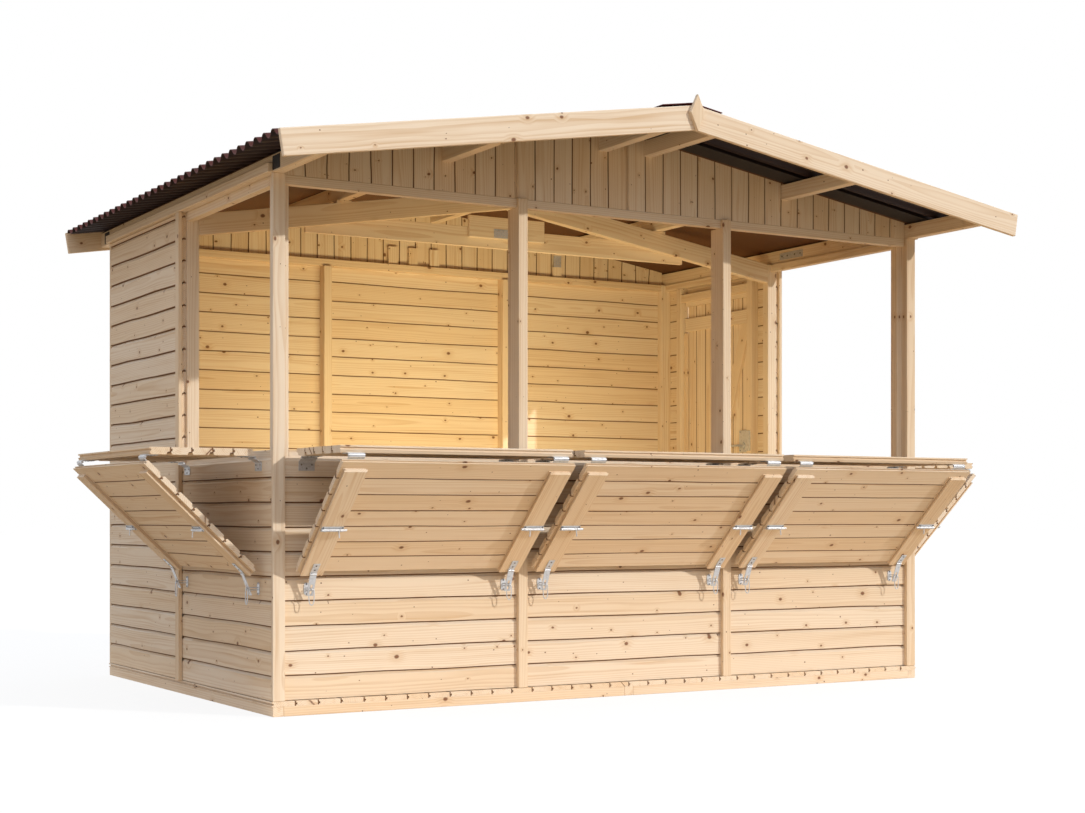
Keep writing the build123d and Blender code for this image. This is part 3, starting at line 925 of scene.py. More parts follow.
def planed_pine(colours):
    """Pale planed pine: growth rings, fine grain and small knots, other ones on each board."""
    graph = new_finish("planed_pine")
    place = graph.node("ShaderNodeAttribute", {"attribute_name": "board_place"})["Vector"]
    tone, width, rim = (
        graph.attribute(f"board_{name}") for name in ("tone", "width", "rim")
    )
    latewood = solid_colour(colours.latewood)
    ring_width = 0.0072
    seam_start, seam_end = 0.0044, 0.0012
    spot = graph.apart(place)
    x, y, z = spot["X"] + tone * 43, spot["Y"], spot["Z"]

    def mottle(sx, sy, sz, detail=3.0, shift=0.0):
        where = graph.vector(x * sx + shift, y * sy + tone * 17, z * sz + tone * 29)
        return graph.noise(where, 1.0, detail)

    # Slanted through the board, so that a knot is a spot on its faces and on its edges
    slanted = y + z

    def knots(along, across, smallest, spread, kept, shift):
        """Nearness to the knots of one stretched cell pattern: core and halo."""
        cells = graph.node(
            "ShaderNodeTexVoronoi",
            {"voronoi_dimensions": "2D"},
            {
                "Vector": graph.vector(x * along, slanted * across + tone * shift, 0),
                "Scale": 1.0,
            },
        )
        cell = graph.apart(cells["Position"])
        luck = graph.node("ShaderNodeSeparateColor", {}, {0: cells["Color"]})
        off_x = x - cell["X"] / along
        off_y = slanted - (cell["Y"] - tone * shift) / across
        radius = smallest + spread * luck["Green"] * luck["Green"]
        ragged = (mottle(110, 110, 110, 1.0) - 0.5) * 0.003
        off = ((off_x * off_x * 0.55 + off_y * off_y) ** 0.5 + ragged) / radius
        present = luck["Red"] > 1 - kept
        return present * graph.ease(off, 1.2, 0.55), present * graph.ease(off, 4.5, 0.9)

    core, halo = knots(3.6, 11.0, 0.003, 0.0064, 0.68, 71.0)
    dots, _ = knots(7.5, 17.0, 0.0014, 0.0022, 0.34, 37.0)

    # Growth rings round a pith that lies off the board, bent by the knots
    pith_y = (tone * 7.13).fract() * 0.12 - 0.06
    pith_z = (tone * 3.71).fract() * 0.06 + 0.018
    dy, dz = y - pith_y, z + pith_z
    bent = (mottle(1.3, 6, 6, 2.0) - 0.5) * 0.022
    growth = (((dy * dy + dz * dz) ** 0.5 + bent + halo * 0.006) / ring_width).fract()
    late = graph.ease(growth, 0.3, 0.9) * graph.ease(growth, 1.0, 0.94)
    fibre = mottle(6, 300, 300, 3.0)
    streak = mottle(1.2, 46, 46, 3.0, 11.0)
    cloud = mottle(1.8, 7, 7, 2.0, 5.0)

    warm = graph.ease((tone * 5.37).fract(), 0.25, 1.0) * 0.7
    colour = graph.blend(warm, solid_colour(colours.sapwood), solid_colour(colours.heartwood))
    lines = graph.ease(streak, 0.5, 0.72)
    figure = late * (0.13 + 0.38 * streak) + lines * 0.24
    figure = figure + (fibre - 0.5) * 0.24 + (cloud - 0.45) * 0.36
    colour = graph.blend(figure, colour, latewood)
    colour = graph.blend(halo * 0.3, colour, latewood)
    colour = graph.blend(core.most(dots) * 0.9, colour, solid_colour(colours.knot))
    # Dust and painted shade in the joints: a dark band along both edges of each board, left off at
    # the panel's rim
    edge = width * 0.5 - abs(y)
    seam = (width > 0.01) * graph.ease(edge, seam_start, seam_end) * (1 - rim)
    colour = graph.blend(seam * 0.93, colour, solid_colour(colours.joint))
    height = late * 0.5 + fibre * 0.6 - core * 0.5
    graph.finish({
        "Base Color": colour,
        "Roughness": 0.56 + 0.2 * fibre - core * 0.12,
        "Specular IOR Level": 0.1,
        "Normal": graph.bump(height, 0.0006),
    })


def zinc_plate(colours):
    """Bright zinc plating with faint crystals and a duller bloom."""
    graph = new_finish("zinc_plate")
    place = graph.node("ShaderNodeTexCoord")["Object"]
    crystals = graph.node("ShaderNodeTexVoronoi", {}, {"Vector": place, "Scale": 260.0})["Color"]
    grey = graph.node("ShaderNodeRGBToBW", {}, {0: crystals})
    bloom = graph.noise(place, 90.0, 3.0)
    dull = solid_colour(0.62 * channel for channel in colours.zinc)
    share = graph.ease(bloom, 0.45, 0.75) * 0.5 + grey * 0.18
    colour = graph.blend(share, solid_colour(colours.zinc), dull)
    colour = graph.blend(graph.attribute("screw_head") * 0.85, colour, (0.13, 0.12, 0.11, 1))
    graph.finish({
        "Base Color": colour,
        "Metallic": 0.5,
        "Roughness": 0.3 + 0.18 * bloom + grey * 0.06,
    })


def coated_sheet(name, coat, under):
    """Matt maroon-brown coating, slightly mottled, in another colour below."""
    graph = new_finish(name)
    place = graph.node("ShaderNodeTexCoord")["Object"]
    mottle = graph.noise(place, 7.0, 5.0)
    speck = graph.noise(place, 420.0, 2.0)
    dusty = solid_colour(0.55 * channel + 0.035 for channel in coat)
    colour = graph.blend(graph.ease(mottle, 0.4, 0.75) * 0.6, solid_colour(coat), dusty)
    facing = graph.apart(graph.node("ShaderNodeTexCoord")["Normal"])
    colour = graph.blend(graph.ease(facing["Z"], -0.2, -0.6), colour, solid_colour(under))
    graph.finish({
        "Base Color": colour,
        "Roughness": 0.5 + 0.2 * mottle,
        "Specular IOR Level": 0.2,
        "Normal": graph.bump(speck, 0.0005),
    })


def roof_paint(colours):
    """The corrugated sheets' coating, almost black below."""
    coated_sheet("roof_paint", colours.roof, (0.026, 0.013, 0.010))


def ridge_paint(colours):
    """The folded ridge cap's coating, a clearer red on both faces."""
    red, green, blue = colours.roof
    clearer = (1.55 * red, 1.1 * green, 1.1 * blue)
    coated_sheet("ridge_paint", clearer, clearer)


def underlay_board(colours):
    """Brown pressed board under the roof sheets; outside the walls it turns near black, for a dark
    lining there and for the shade under the overhangs, which is painted in.
    """
    graph = new_finish("underlay_board")
    place = graph.node("ShaderNodeTexCoord")["Object"]
    mottle = graph.noise(place, 3.0, 4.0)
    fibre = graph.noise(place, 160.0, 3.0)
    dark = solid_colour(0.7 * channel for channel in colours.underlay)
    colour = graph.blend(mottle * 0.7 + fibre * 0.3, solid_colour(colours.underlay), dark)
    # Outside the walls the colour is near black: a dark lining, with the shade under the overhangs
    # painted in
    wall_face, lining_and_painted_shade = 1.055, (0.036, 0.031, 0.028, 1)
    outside = graph.ease(abs(graph.apart(place)["Y"]), wall_face, wall_face + 0.005)
    colour = graph.blend(outside, colour, lining_and_painted_shade)
    graph.finish({
        "Base Color": colour,
        "Roughness": 0.45 + 0.25 * fibre,
        "Specular IOR Level": 0.15,
    })


class STALL_OT_finishes(bpy.types.Operator):
    """Make the stall's materials and the node trees that the other operators use"""

    bl_idname = "stall.finishes"
    bl_label = "Make Finishes"

    def execute(self, context):
        colours = context.scene.stall_colours
        for make in (planed_pine, zinc_plate, roof_paint, ridge_paint, underlay_board):
            make(colours)
        for make in (board_tree, fastener_tree, plate_tree):
            make()
        return {"FINISHED"}


class STALL_OT_timbers(bpy.types.Operator):
    """Plane the posts, rails, plates, purlins, truss and roof trims"""

    bl_idname = "stall.timbers"
    bl_label = "Plane Timbers"

    nodes = (
        "base_joists", "base_runners", "corner_posts", "front_posts", "wall_posts",
        "low_wall_rails", "door_jambs", "door_head", "front_lintel", "wall_plates", "purlins",
        "eave_trims", "fascias", "finials", "truss_rafters", "truss_collar", "truss_gusset",
        "purlin_blocks",
    )
    end_wall = 1.2
    trim, slot, slot_depth = 0.018, 0.022, 0.013

    def execute(self, context):
        edge_round = context.scene.stall_boards.edge_round
        for node in self.nodes:
            grain = UP if node == "finials" else None
            meshes = []
            for solid in solids(node):
                if node == "wall_posts" and abs(sum_of(solid).x) > self.end_wall:
                    meshes += self.end_post(solid, edge_round)
                else:
                    meshes.append(timber_mesh(solid, node, edge_round, grain))
            add_piece(f"{node}_planed", joined(meshes), "planed_pine", STALL, "timber", node)
        return {"FINISHED"}

    def end_post(self, solid, edge_round):
        """A post of an end wall: trim outside, board ends in a slot, and the post inside."""
        (left, right), (near, far), (low, high) = spans(solid, RIGHT, BACK, UP)
        solid.free()
        side = math.copysign(1, left)
        outer, inner = (right, left) if side > 0 else (left, right)
        trim, post = outer - side * self.trim, outer - side * (self.trim + self.slot)
        ends = box((trim, near + self.slot_depth, low), (post, far, high))
        panel = Panel(ends, UP, RIGHT * side)
        ends.free()
        pitch = bpy.context.scene.stall_boards.wall_pitch
        return [
            strip((outer, near, low), (trim, far, high), "end_trim", edge_round),
            board_panel(panel, "end_boards", WALL_JOINT, 61, pitch=pitch),
            strip((post, near, low), (inner, far, high), "end_post", edge_round),
        ]


class STALL_OT_wall_boards(bpy.types.Operator):
    """Board the low walls and the closed walls, with a shadow joint outside"""

    bl_idname = "stall.wall_boards"
    bl_label = "Board Walls"

    nodes = (
        "low_walls", "rear_walls", "left_rear_wall", "right_walls_beside_door",
        "right_wall_over_door",
    )

    def execute(self, context):
        pitch = context.scene.stall_boards.wall_pitch
        for number, node in enumerate(self.nodes):
            meshes = []
            for bay, solid in enumerate(solids(node)):
                (left, right), (near, far) = spans(solid, RIGHT, BACK)
                if right - left < far - near:
                    depth = RIGHT if left > 0 else -RIGHT
                else:
                    depth = BACK if near > 0 else -BACK
                panel, seed = Panel(solid, UP, depth), 100 * number + 7 * bay
                meshes.append(board_panel(panel, node, WALL_JOINT, seed, pitch=pitch))
            add_piece(f"{node}_boards", joined(meshes), "planed_pine", STALL, "timber", node)
        return {"FINISHED"}


class STALL_OT_gable_boards(bpy.types.Operator):
    """Board the gables upright, up to the roof; the front one has three panels and open seams"""

    bl_idname = "stall.gable_boards"
    bl_label = "Board Gables"

    seams = (-0.555, 0.003)
    seam_half = 0.003

    def execute(self, context):
        meshes = []
        for number, solid in enumerate(solids("gables")):
            front = sum_of(solid).y < 0
            side = -1 if front else 1
            edge = max(abs(vert.co.x) for vert in solid.verts)
            eave = max(vert.co.z for vert in solid.verts if abs(vert.co.x) > edge - 1e-4)
            apex = max(vert.co.z for vert in solid.verts)
            seams = sorted(edge - seam for seam in self.seams) if front else []
            starts = [0] + [seam + self.seam_half for seam in seams]
            ends = [seam - self.seam_half for seam in seams] + [2 * edge]
            for bay, (low, high) in enumerate(zip(starts, ends)):
                panel = Panel(solid, RIGHT * side, BACK * side).narrow(low, high)
                share = (high - low) / (2 * edge)
                count = round(share * context.scene.stall_boards.gable_count)
                meshes.append(
                    board_panel(
                        panel, "gables", TIGHT_JOINT, 700 + 10 * number + bay,
                        count=count, rise=(apex - eave) / edge, ridge=edge - low,
                    )
                )
        add_piece("gables_boards", joined(meshes), "planed_pine", STALL, "timber", "gables")
        return {"FINISHED"}


class STALL_OT_floor_boards(bpy.types.Operator):
    """Lay the floor boards from front to rear"""

    bl_idname = "stall.floor_boards"
    bl_label = "Lay Floor"

    def execute(self, context):
        panel = Panel(solids("floor")[0], RIGHT, UP)
        count = context.scene.stall_boards.floor_count
        mesh = board_panel(panel, "floor", FLOOR_JOINT, 800, count=count)
        add_piece("floor_boards", mesh, "planed_pine", STALL, "timber", "floor")
        return {"FINISHED"}


class STALL_OT_flap_boards(bpy.types.Operator):
    """Board the fold-down counters and their battened prop panels"""

    bl_idname = "stall.flap_boards"
    bl_label = "Board Counters"

    def execute(self, context):
        sizes = context.scene.stall_boards
        for number, name in enumerate(FLAPS):
            flap = Flap(name)
            counter = f"{name}_counter"
            panel = Panel(solids(counter)[0], -flap.out, -UP)
            mesh = board_panel(
                panel, counter, COUNTER_JOINT, 900 + number, count=sizes.counter_count
            )
            add_piece(f"{counter}_boards", mesh, "planed_pine", counter, "timber", counter)
            prop = f"{name}_prop"
            solid = solids(prop)[0]
            (back, face), = spans(solid, -flap.face)
            panel = Panel(solid, flap.down, -flap.face, (face - back) / 2)
            meshes = [board_panel(panel, prop, PROP_JOINT, 950 + number, count=sizes.prop_count)]
            meshes += self.battens(solid, flap, prop, number)
            add_piece(f"{prop}_boards", joined(meshes), "planed_pine", prop, "timber", prop)
        return {"FINISHED"}

    def battens(self, solid, flap, name, number):
        """Lay two tongued boards as battens on a prop panel's back, grooves left or front."""
        (back, face), = spans(solid, flap.face)
        outer = [vert.co for vert in solid.verts if vert.co.dot(flap.face) > face - 1e-4]
        across = Vector([abs(value) for value in flap.axis])
        places = sorted({round(co.dot(across), 4) for co in outer})
        made = []
        for side, (left, right) in enumerate((places[:2], places[2:])):
            batten = bmesh.new()
            for co in outer:
                if left - 1e-4 < co.dot(across) < right + 1e-4:
                    batten.verts.new(co)
                    batten.verts.new(co - flap.face * (face - back) / 2)
            panel = Panel(batten, across, flap.face)
            batten.free()
            seed = 970 + 2 * number + side
            made.append(board_panel(panel, name, BATTEN_JOINT, seed, count=1, stain=0))
        return made


class STALL_OT_roof(bpy.types.Operator):
    """Coat the roof sheets, the ridge cap and the underlay"""

    bl_idname = "stall.roof"
    bl_label = "Coat Roof"

    def execute(self, context):
        for node, material in (
            ("roof_sheets", "roof_paint"),
            ("ridge_cap", "ridge_paint"),
            ("roof_underlay", "underlay_board"),
        ):
            sheet = frame["nodes"][node]
            sheet.data.materials.clear()
            sheet.data.materials.append(bpy.data.materials[material])
        return {"FINISHED"}


def seats_on(solid, axis, run, normal, level, rows):
    """Screw seats on a leaf: rows of (share of its run, places from its middle along the hinge)."""
    (left, right), (start, end) = spans(solid, axis, run)
    middle = axis * (left + right) / 2 + normal * level
    return [
        (middle + axis * place + run * (start + (end - start) * share), normal)
        for share, places in rows
        for place in places
    ]


class STALL_OT_ironwork(bpy.types.Operator):
    """Make the hinges, hasps, pins, bolts and staples, with their screws"""

    bl_idname = "stall.ironwork"
    bl_label = "Fit Ironwork"

    iron = 0.0025
    staple_zone, leaf_zone, near_wall = (0.44, 0.54), (0.9, 1.0), 0.03
    pintle_face, door_face = 1.6525, 1.65
    # Places of a row's screws, from the middle of their leaf
    one, leaf_pair, bolt_pair = (0.0,), (-0.022, 0.022), (-0.040, 0.040)
    lock_pair, strap_pair, pintle_pair = (-0.05, 0.05), (-0.01, 0.01), (-0.012, 0.012)
    # Rows of screws: a share of the leaf's run, or a height for the wall's leaves, and places
    wall_leaf = ((0.982, leaf_pair), (0.967, one))
    rail_leaf = ((0.72, leaf_pair), (0.42, one))
    edge_leaf = ((0.2, leaf_pair), (0.5, one))
    prop_leaf = ((0.78, leaf_pair), (0.46, one))
    hasp_leaf = ((0.2, one), (0.66, one))
    bolt_plate = ((0.15, bolt_pair), (0.85, bolt_pair))
    pintle_plate = ((0.5, pintle_pair), (0.8, one))
    lock_case = ((0.14, lock_pair), (0.86, lock_pair))
    door_strap = (
        (0.06, one), (0.3, one), (0.55, one), (0.8, strap_pair), (0.95, strap_pair),
    )
    # A ring pin's points: shares of its half width and of its length, and how far it hangs out
    pin_half, pin_length, pin_wire = 0.0115, 0.060, 0.0021
    pin_loop = (
        (-0.9, 0.0, 0), (0.0, 0.0, 0), (0.9, 0.0, 0), (1.05, 0.12, 0.001), (1.0, 0.5, 0.002),
        (0.8, 0.92, 0.002), (0.0, 1.06, 0.002), (-0.8, 0.92, 0.002), (-1.0, 0.5, 0.002),
        (-1.05, 0.12, 0.001),
    )

    def execute(self, context):
        head = screw_head("flap_screw", 0.0038, 0.0019)
        wall, wall_seats = [], []
        flaps = [Flap(name) for name in FLAPS]
        for number, flap in enumerate(flaps):
            counter, prop, hasps = (f"{flap.name}_{part}" for part in ("counter", "prop", "hasps"))
            parts, seats = self.counter_irons(flap)
            self.fit(f"{counter}_irons", counter, parts, seats, head, number)
            parts, seats = self.prop_irons(flap)
            self.fit(f"{prop}_irons", prop, parts, seats, head, 20 + number)
            self.fit(hasps, hasps, self.hasps(flap, wall, wall_seats), [], head, 40)
        for solid in solids("wall_irons"):
            (low, high), = spans(solid, UP)
            middle = sum_of(solid)
            if self.staple_zone[0] < low and high < self.staple_zone[1]:
                solid.free()
                continue
            near = (f for f in flaps if abs(middle.dot(f.out) - f.wall) < self.near_wall)
            flap = next(near, None)
            if flap and self.leaf_zone[0] < low < self.leaf_zone[1]:
                level = flap.wall + self.iron
                wall_seats += [
                    (
                        flap.axis * (middle.dot(flap.axis) + place) + UP * z + flap.out * level,
                        flap.out,
                    )
                    for z, places in self.wall_leaf
                    for place in places
                ]
            else:
                wall_seats += seats_on(
                    solid, UP, BACK, RIGHT, self.pintle_face, self.pintle_plate
                )
            wall.append(plated_mesh(solid, "wall_irons"))
        self.fit("wall_irons", STALL, wall, wall_seats, head, 50)
        parts, seats = self.door_irons()
        self.fit("door_irons", "door", parts, seats, head, 60)
        bpy.data.objects.remove(head)
        return {"FINISHED"}

    def fit(self, node, body, parts, seats, head, seed):
        """Join ironwork and its screws into the piece that stands for a CAD node."""
        if seats:
            parts.append(fasteners(node, seats, head, "zinc_plate", seed))
        add_piece(f"{node}_fitted", joined(parts), "zinc_plate", body, "zinc_steel", node)

    def counter_irons(self, flap):
        """Hinge leaves under a counter."""
        parts, seats = [], []
        near = flap.counter_hinge.dot(flap.out) + 0.1
        found = solids(f"{flap.name}_counter_irons")
        level = max(
            spans(solid, -UP)[0][1] for solid in found if sum_of(solid).dot(flap.out) < near
        )
        for solid in found:
            rows = self.edge_leaf if sum_of(solid).dot(flap.out) > near else self.rail_leaf
            seats += seats_on(solid, flap.axis, flap.out, -UP, level, rows)
            parts.append(plated_mesh(solid, "counter_hinge"))
        return parts, seats

    def prop_irons(self, flap):
        """Hinge leaves, hasp leaves and barrel bolts of a prop panel."""
        parts, seats = [], []
        for solid in solids(f"{flap.name}_prop_irons"):
            (left, right), (top, foot), (back, face) = spans(
                solid, flap.axis, flap.down, flap.face
            )
            if face - back > 0.01:
                normal, level, rows = flap.face, back + self.iron, self.bolt_plate
                parts += self.bolt(flap, (left + right) / 2, (top + foot) / 2, face - 0.0055)
            elif right - left < 0.04:
                normal, level, rows = flap.face, face, self.hasp_leaf
            else:
                normal, level, rows = -flap.face, -back, self.prop_leaf
            seats += seats_on(solid, flap.axis, flap.down, normal, level, rows)
            parts.append(plated_mesh(solid, "prop_irons"))
        return parts, seats

    def bolt(self, flap, place, run, level):
        """Saddles round a barrel bolt's rod, the rod's ends and its hooked knob."""
        saddle, saddle_radius, saddle_width = 0.034, 0.0068, 0.010
        tail, nose, rod_radius = 0.047, 0.058, 0.0046
        knob, knob_radius = 0.022, 0.0026
        rod = flap.axis * place + flap.down * run + flap.face * level
        inward = math.copysign(1, flap.prop_hinge.dot(flap.axis) - place)
        made = [
            collar("bolt_saddle", rod + flap.axis * step, flap.axis, saddle_radius, saddle_width)
            for step in (-saddle, saddle)
        ]
        ends = [rod - flap.axis * inward * tail, rod + flap.axis * inward * nose]
        made.append(bent_wire("bolt_rod", ends, rod_radius, smooth=False))
        root = rod + flap.axis * inward * knob
        bend = root + flap.face * 0.013
        tip = bend + flap.axis * inward * 0.002 - UP * 0.020
        path = [root, root + flap.face * 0.009, bend, bend - UP * 0.006, tip]
        made.append(bent_wire("bolt_knob", path, knob_radius))
        return made

    def hasps(self, flap, wall, wall_seats):
        """Slotted straps; the staples and the pins that hang in them go to the wall's ironwork."""
        parts = []
        for solid in solids(f"{flap.name}_hasps"):
            (left, right), = spans(solid, flap.axis)
            eye = flap.pin + flap.axis * ((left + right) / 2 - flap.pin.dot(flap.axis))
            parts.append(plated_mesh(solid, "hasp_strap", 0.0004))
            loop = [
                eye + flap.axis * a * self.pin_half - UP * b * self.pin_length + flap.out * c
                for a, b, c in self.pin_loop
            ]
            wall.append(bent_wire("hasp_pin", loop, self.pin_wire, closed=True))
            self.staple(flap, eye, wall, wall_seats)
        return parts

    def staple(self, flap, eye, wall, wall_seats):
        """A bent-wire staple on an oval plate."""
        rise, wire, steps = 0.0047, 0.0023, 8
        length, width, corner, screw = 0.050, 0.024, 0.0115, 0.0195
        foot = eye + flap.out * (flap.wall - eye.dot(flap.out))
        points = [foot + UP * rise]
        for step in range(steps + 1):
            angle = math.pi / 2 - math.pi * step / steps
            points.append(eye + flap.out * rise * math.cos(angle) + UP * rise * math.sin(angle))
        points.append(foot - UP * rise)
        wall.append(bent_wire("staple", points, wire, smooth=False))
        outline = round_cornered(foot, UP, flap.axis, length, width, corner, 7)
        wall.append(slab("staple_plate", outline, flap.out * self.iron, 0.0008))
        for side in (-1, 1):
            wall_seats.append((foot + UP * side * screw + flap.out * self.iron, flap.out))

    def door_irons(self):
        """Strap hinges outside, lock case inside and a lever on each side."""
        parts, seats = [], []
        for solid in solids("door_irons"):
            (inner, outer), (front, rear), (low, high) = spans(solid, RIGHT, BACK, UP)
            if outer - inner > 0.01:
                spindle = Vector((inner, (front + rear) / 2, low + 0.3 * (high - low)))
                parts += self.levers(spindle)
                seats += seats_on(solid, UP, BACK, -RIGHT, -inner, self.lock_case)
            else:
                seats += seats_on(solid, UP, BACK, RIGHT, outer, self.door_strap)
            parts.append(plated_mesh(solid, "door_irons", 0.0008))
        return parts, seats

    def levers(self, spindle):
        """A lever with its rose inside, and another outside."""
        rose, height, reach, lever = 0.019, 0.006, 0.034, 0.0065
        made = []
        for side, face in ((-1, spindle.x), (1, self.door_face)):
            root = Vector((face, spindle.y, spindle.z))
            out = RIGHT * side
            made.append(collar("lever_rose", root + out * height / 2, RIGHT, rose, height))
            neck = root + out * reach
            path = [root, root + out * 0.02, neck, neck + BACK * 0.012, neck + BACK * 0.07]
            made.append(bent_wire("lever", path, lever))
        return made


class STALL_OT_fixings(bpy.types.Operator):
    """Add the nail plates, cleats, door stops, lock keep, underlay strips and roof screws"""

    bl_idname = "stall.fixings"
    bl_label = "Add Fixings"

    # Cleats on the rear gable: middle, width, foot and head
    cleats = (
        (-0.139, 0.055, 2.114, 2.210), (-0.020, 0.055, 2.114, 2.210),
        (0.107, 0.055, 2.114, 2.210), (0.8775, 0.055, 2.114, 2.171),
    )
    cleat_front, cleat_rear = 1.000, 1.020
    # Opposite corners of the door's stops
    stops = (
        ((1.605, 0.790, 0.345), (1.625, 0.810, 1.820)),
        ((1.605, 0.194, 0.295), (1.625, 0.206, 1.790)),
        ((1.605, 0.206, 1.970), (1.625, 0.790, 1.994)),
    )
    purlin_plate, plate_screws = Vector((1.602, -0.1705, 2.1465)), (-0.075, -0.03, 0.03, 0.075)
    lock_keep = Vector((1.585, 0.175, 1.185))
    strip_middle, strip_width = 1.0975, 0.075
    crest_step = 3

    def execute(self, context):
        small = [
            strip(
                (x - width / 2, self.cleat_front, low), (x + width / 2, self.cleat_rear, high),
                "cleats",
            )
            for x, width, low, high in self.cleats
        ]
        small += [strip(first, second, "door_stops") for first, second in self.stops]
        add_piece("cleats_and_stops", joined(small), "planed_pine", STALL, "timber")
        plates = [
            perforated_plate(Vector((0, 0.014, 2.150)), RIGHT, -BACK, 0.150, 0.042, 9, 2, 0.010),
            perforated_plate(Vector((0.876, 1.0, 2.2055)), UP, -BACK, 0.069, 0.046, 5, 3, 0.009),
        ]
        for name, middle, length, width, thickness in (
            ("purlin_plate", self.purlin_plate, 0.189, 0.037, 0.002),
            ("lock_keep", self.lock_keep, 0.034, 0.110, 0.008),
        ):
            outline = round_cornered(middle, BACK, UP, length, width, 0.003, 3)
            plates.append(slab(name, outline, -RIGHT * thickness))
        head = screw_head("plate_screw", 0.0045, 0.0022)
        _, y, z = self.purlin_plate
        seats = [(Vector((1.600, y + step, z)), -RIGHT) for step in self.plate_screws]
        plates.append(fasteners("plate_screws", seats, head, "zinc_plate", 70))
        bpy.data.objects.remove(head)
        add_piece("nail_plates", joined(plates), "zinc_plate", STALL, "zinc_steel")
        self.underlay_strips()
        self.roof_screws()
        return {"FINISHED"}

    def underlay_strips(self):
        """Ends of the underlay folded down on the outer faces of the eave purlins."""
        made = []
        eave = max(solids("purlins"), key=lambda solid: spans(solid, RIGHT)[0][1])
        (_, reach), (low, high) = spans(eave, RIGHT, UP)
        height = (high - low) * 0.8
        for side in (-1, 1):
            for y in (-self.strip_middle, self.strip_middle):
                middle = Vector((side * reach, y, (low + high) / 2))
                outline = round_cornered(middle, BACK, UP, self.strip_width, height, 0.004, 3)
                made.append(slab("underlay_strips", outline, RIGHT * side * 0.0015, 0.0004))
        add_piece("underlay_strips", joined(made), "underlay_board", STALL, "underlay")

    def roof_screws(self):
        """Screws on every third crest of the sheets, over the purlins."""
        points = [vert.co for vert in frame["nodes"]["roof_sheets"].data.vertices]
        edge = max(co.x for co in points)
        tops = {}
        for co in points:
            if co.x > edge - 1e-3:
                tops[round(co.y, 4)] = max(co.z, tops.get(round(co.y, 4), 0))
        rows = sorted(tops)
        crests = [
            b for a, b, c in zip(rows, rows[1:], rows[2:])
            if tops[b] >= tops[a] and tops[b] > tops[c]
        ]
        eave = max(tops.values())
        ridge = max(points, key=lambda co: co.z)
        slope = (ridge.z - eave) / (edge - abs(ridge.x))
        lines = sorted({round(abs(sum_of(solid).x), 3) for solid in solids("purlins")})
        seats = []
        for side in (-1, 1):
            normal = Vector((side * slope, 0, 1)).normalized()
            for line in lines:
                if 0.2 < line < edge:
                    seats += [
                        (Vector((side * line, y, eave + (edge - line) * slope)), normal)
                        for y in crests[1 :: self.crest_step]
                    ]
        head = roof_screw_head("roof_screw", 0.008, 0.0045, 0.006)
        mesh = fasteners("roof_screws", seats, head, "roof_paint", 80)
        bpy.data.objects.remove(head)
        add_piece("roof_screws", mesh, "roof_paint", STALL, "roof_sheet")


class STALL_OT_door(bpy.types.Operator):
    """Board the door and fit its ledges and brace"""

    bl_idname = "stall.door"
    bl_label = "Hang Door"

    def execute(self, context):
        sizes = context.scene.stall_boards
        solid = solids("door")[0]
        (inner, outer), (front, rear) = spans(solid, RIGHT, BACK)
        thickness = (outer - inner) / 2
        panel = Panel(solid, BACK, RIGHT, thickness)
        meshes = [board_panel(panel, "door", WALL_JOINT, 990, count=sizes.door_count)]
        back = [vert.co for vert in solid.verts if vert.co.x < inner + 1e-4]
        heights = sorted({round(co.z, 4) for co in back})
        for bottom, top in (heights[:2], heights[-2:]):
            ledge = [(front, bottom), (rear, bottom), (rear, top), (front, top)]
            meshes.append(self.plank(inner, thickness, ledge))
        width = heights[1] - heights[0]
        foot, head = heights[1], heights[-2]
        brace = [(rear - width, foot), (rear, foot), (front + width, head), (front, head)]
        meshes.append(self.plank(inner, thickness, brace))
        add_piece("door_boards", joined(meshes), "planed_pine", "door", "timber", "door")
        return {"FINISHED"}

    def plank(self, inner, thickness, outline):
        """A ledge or brace on the door's inner face."""
        work = thickened([(inner, y, z) for y, z in outline], RIGHT * thickness)
        return timber_mesh(work, "door_plank", bpy.context.scene.stall_boards.edge_round)


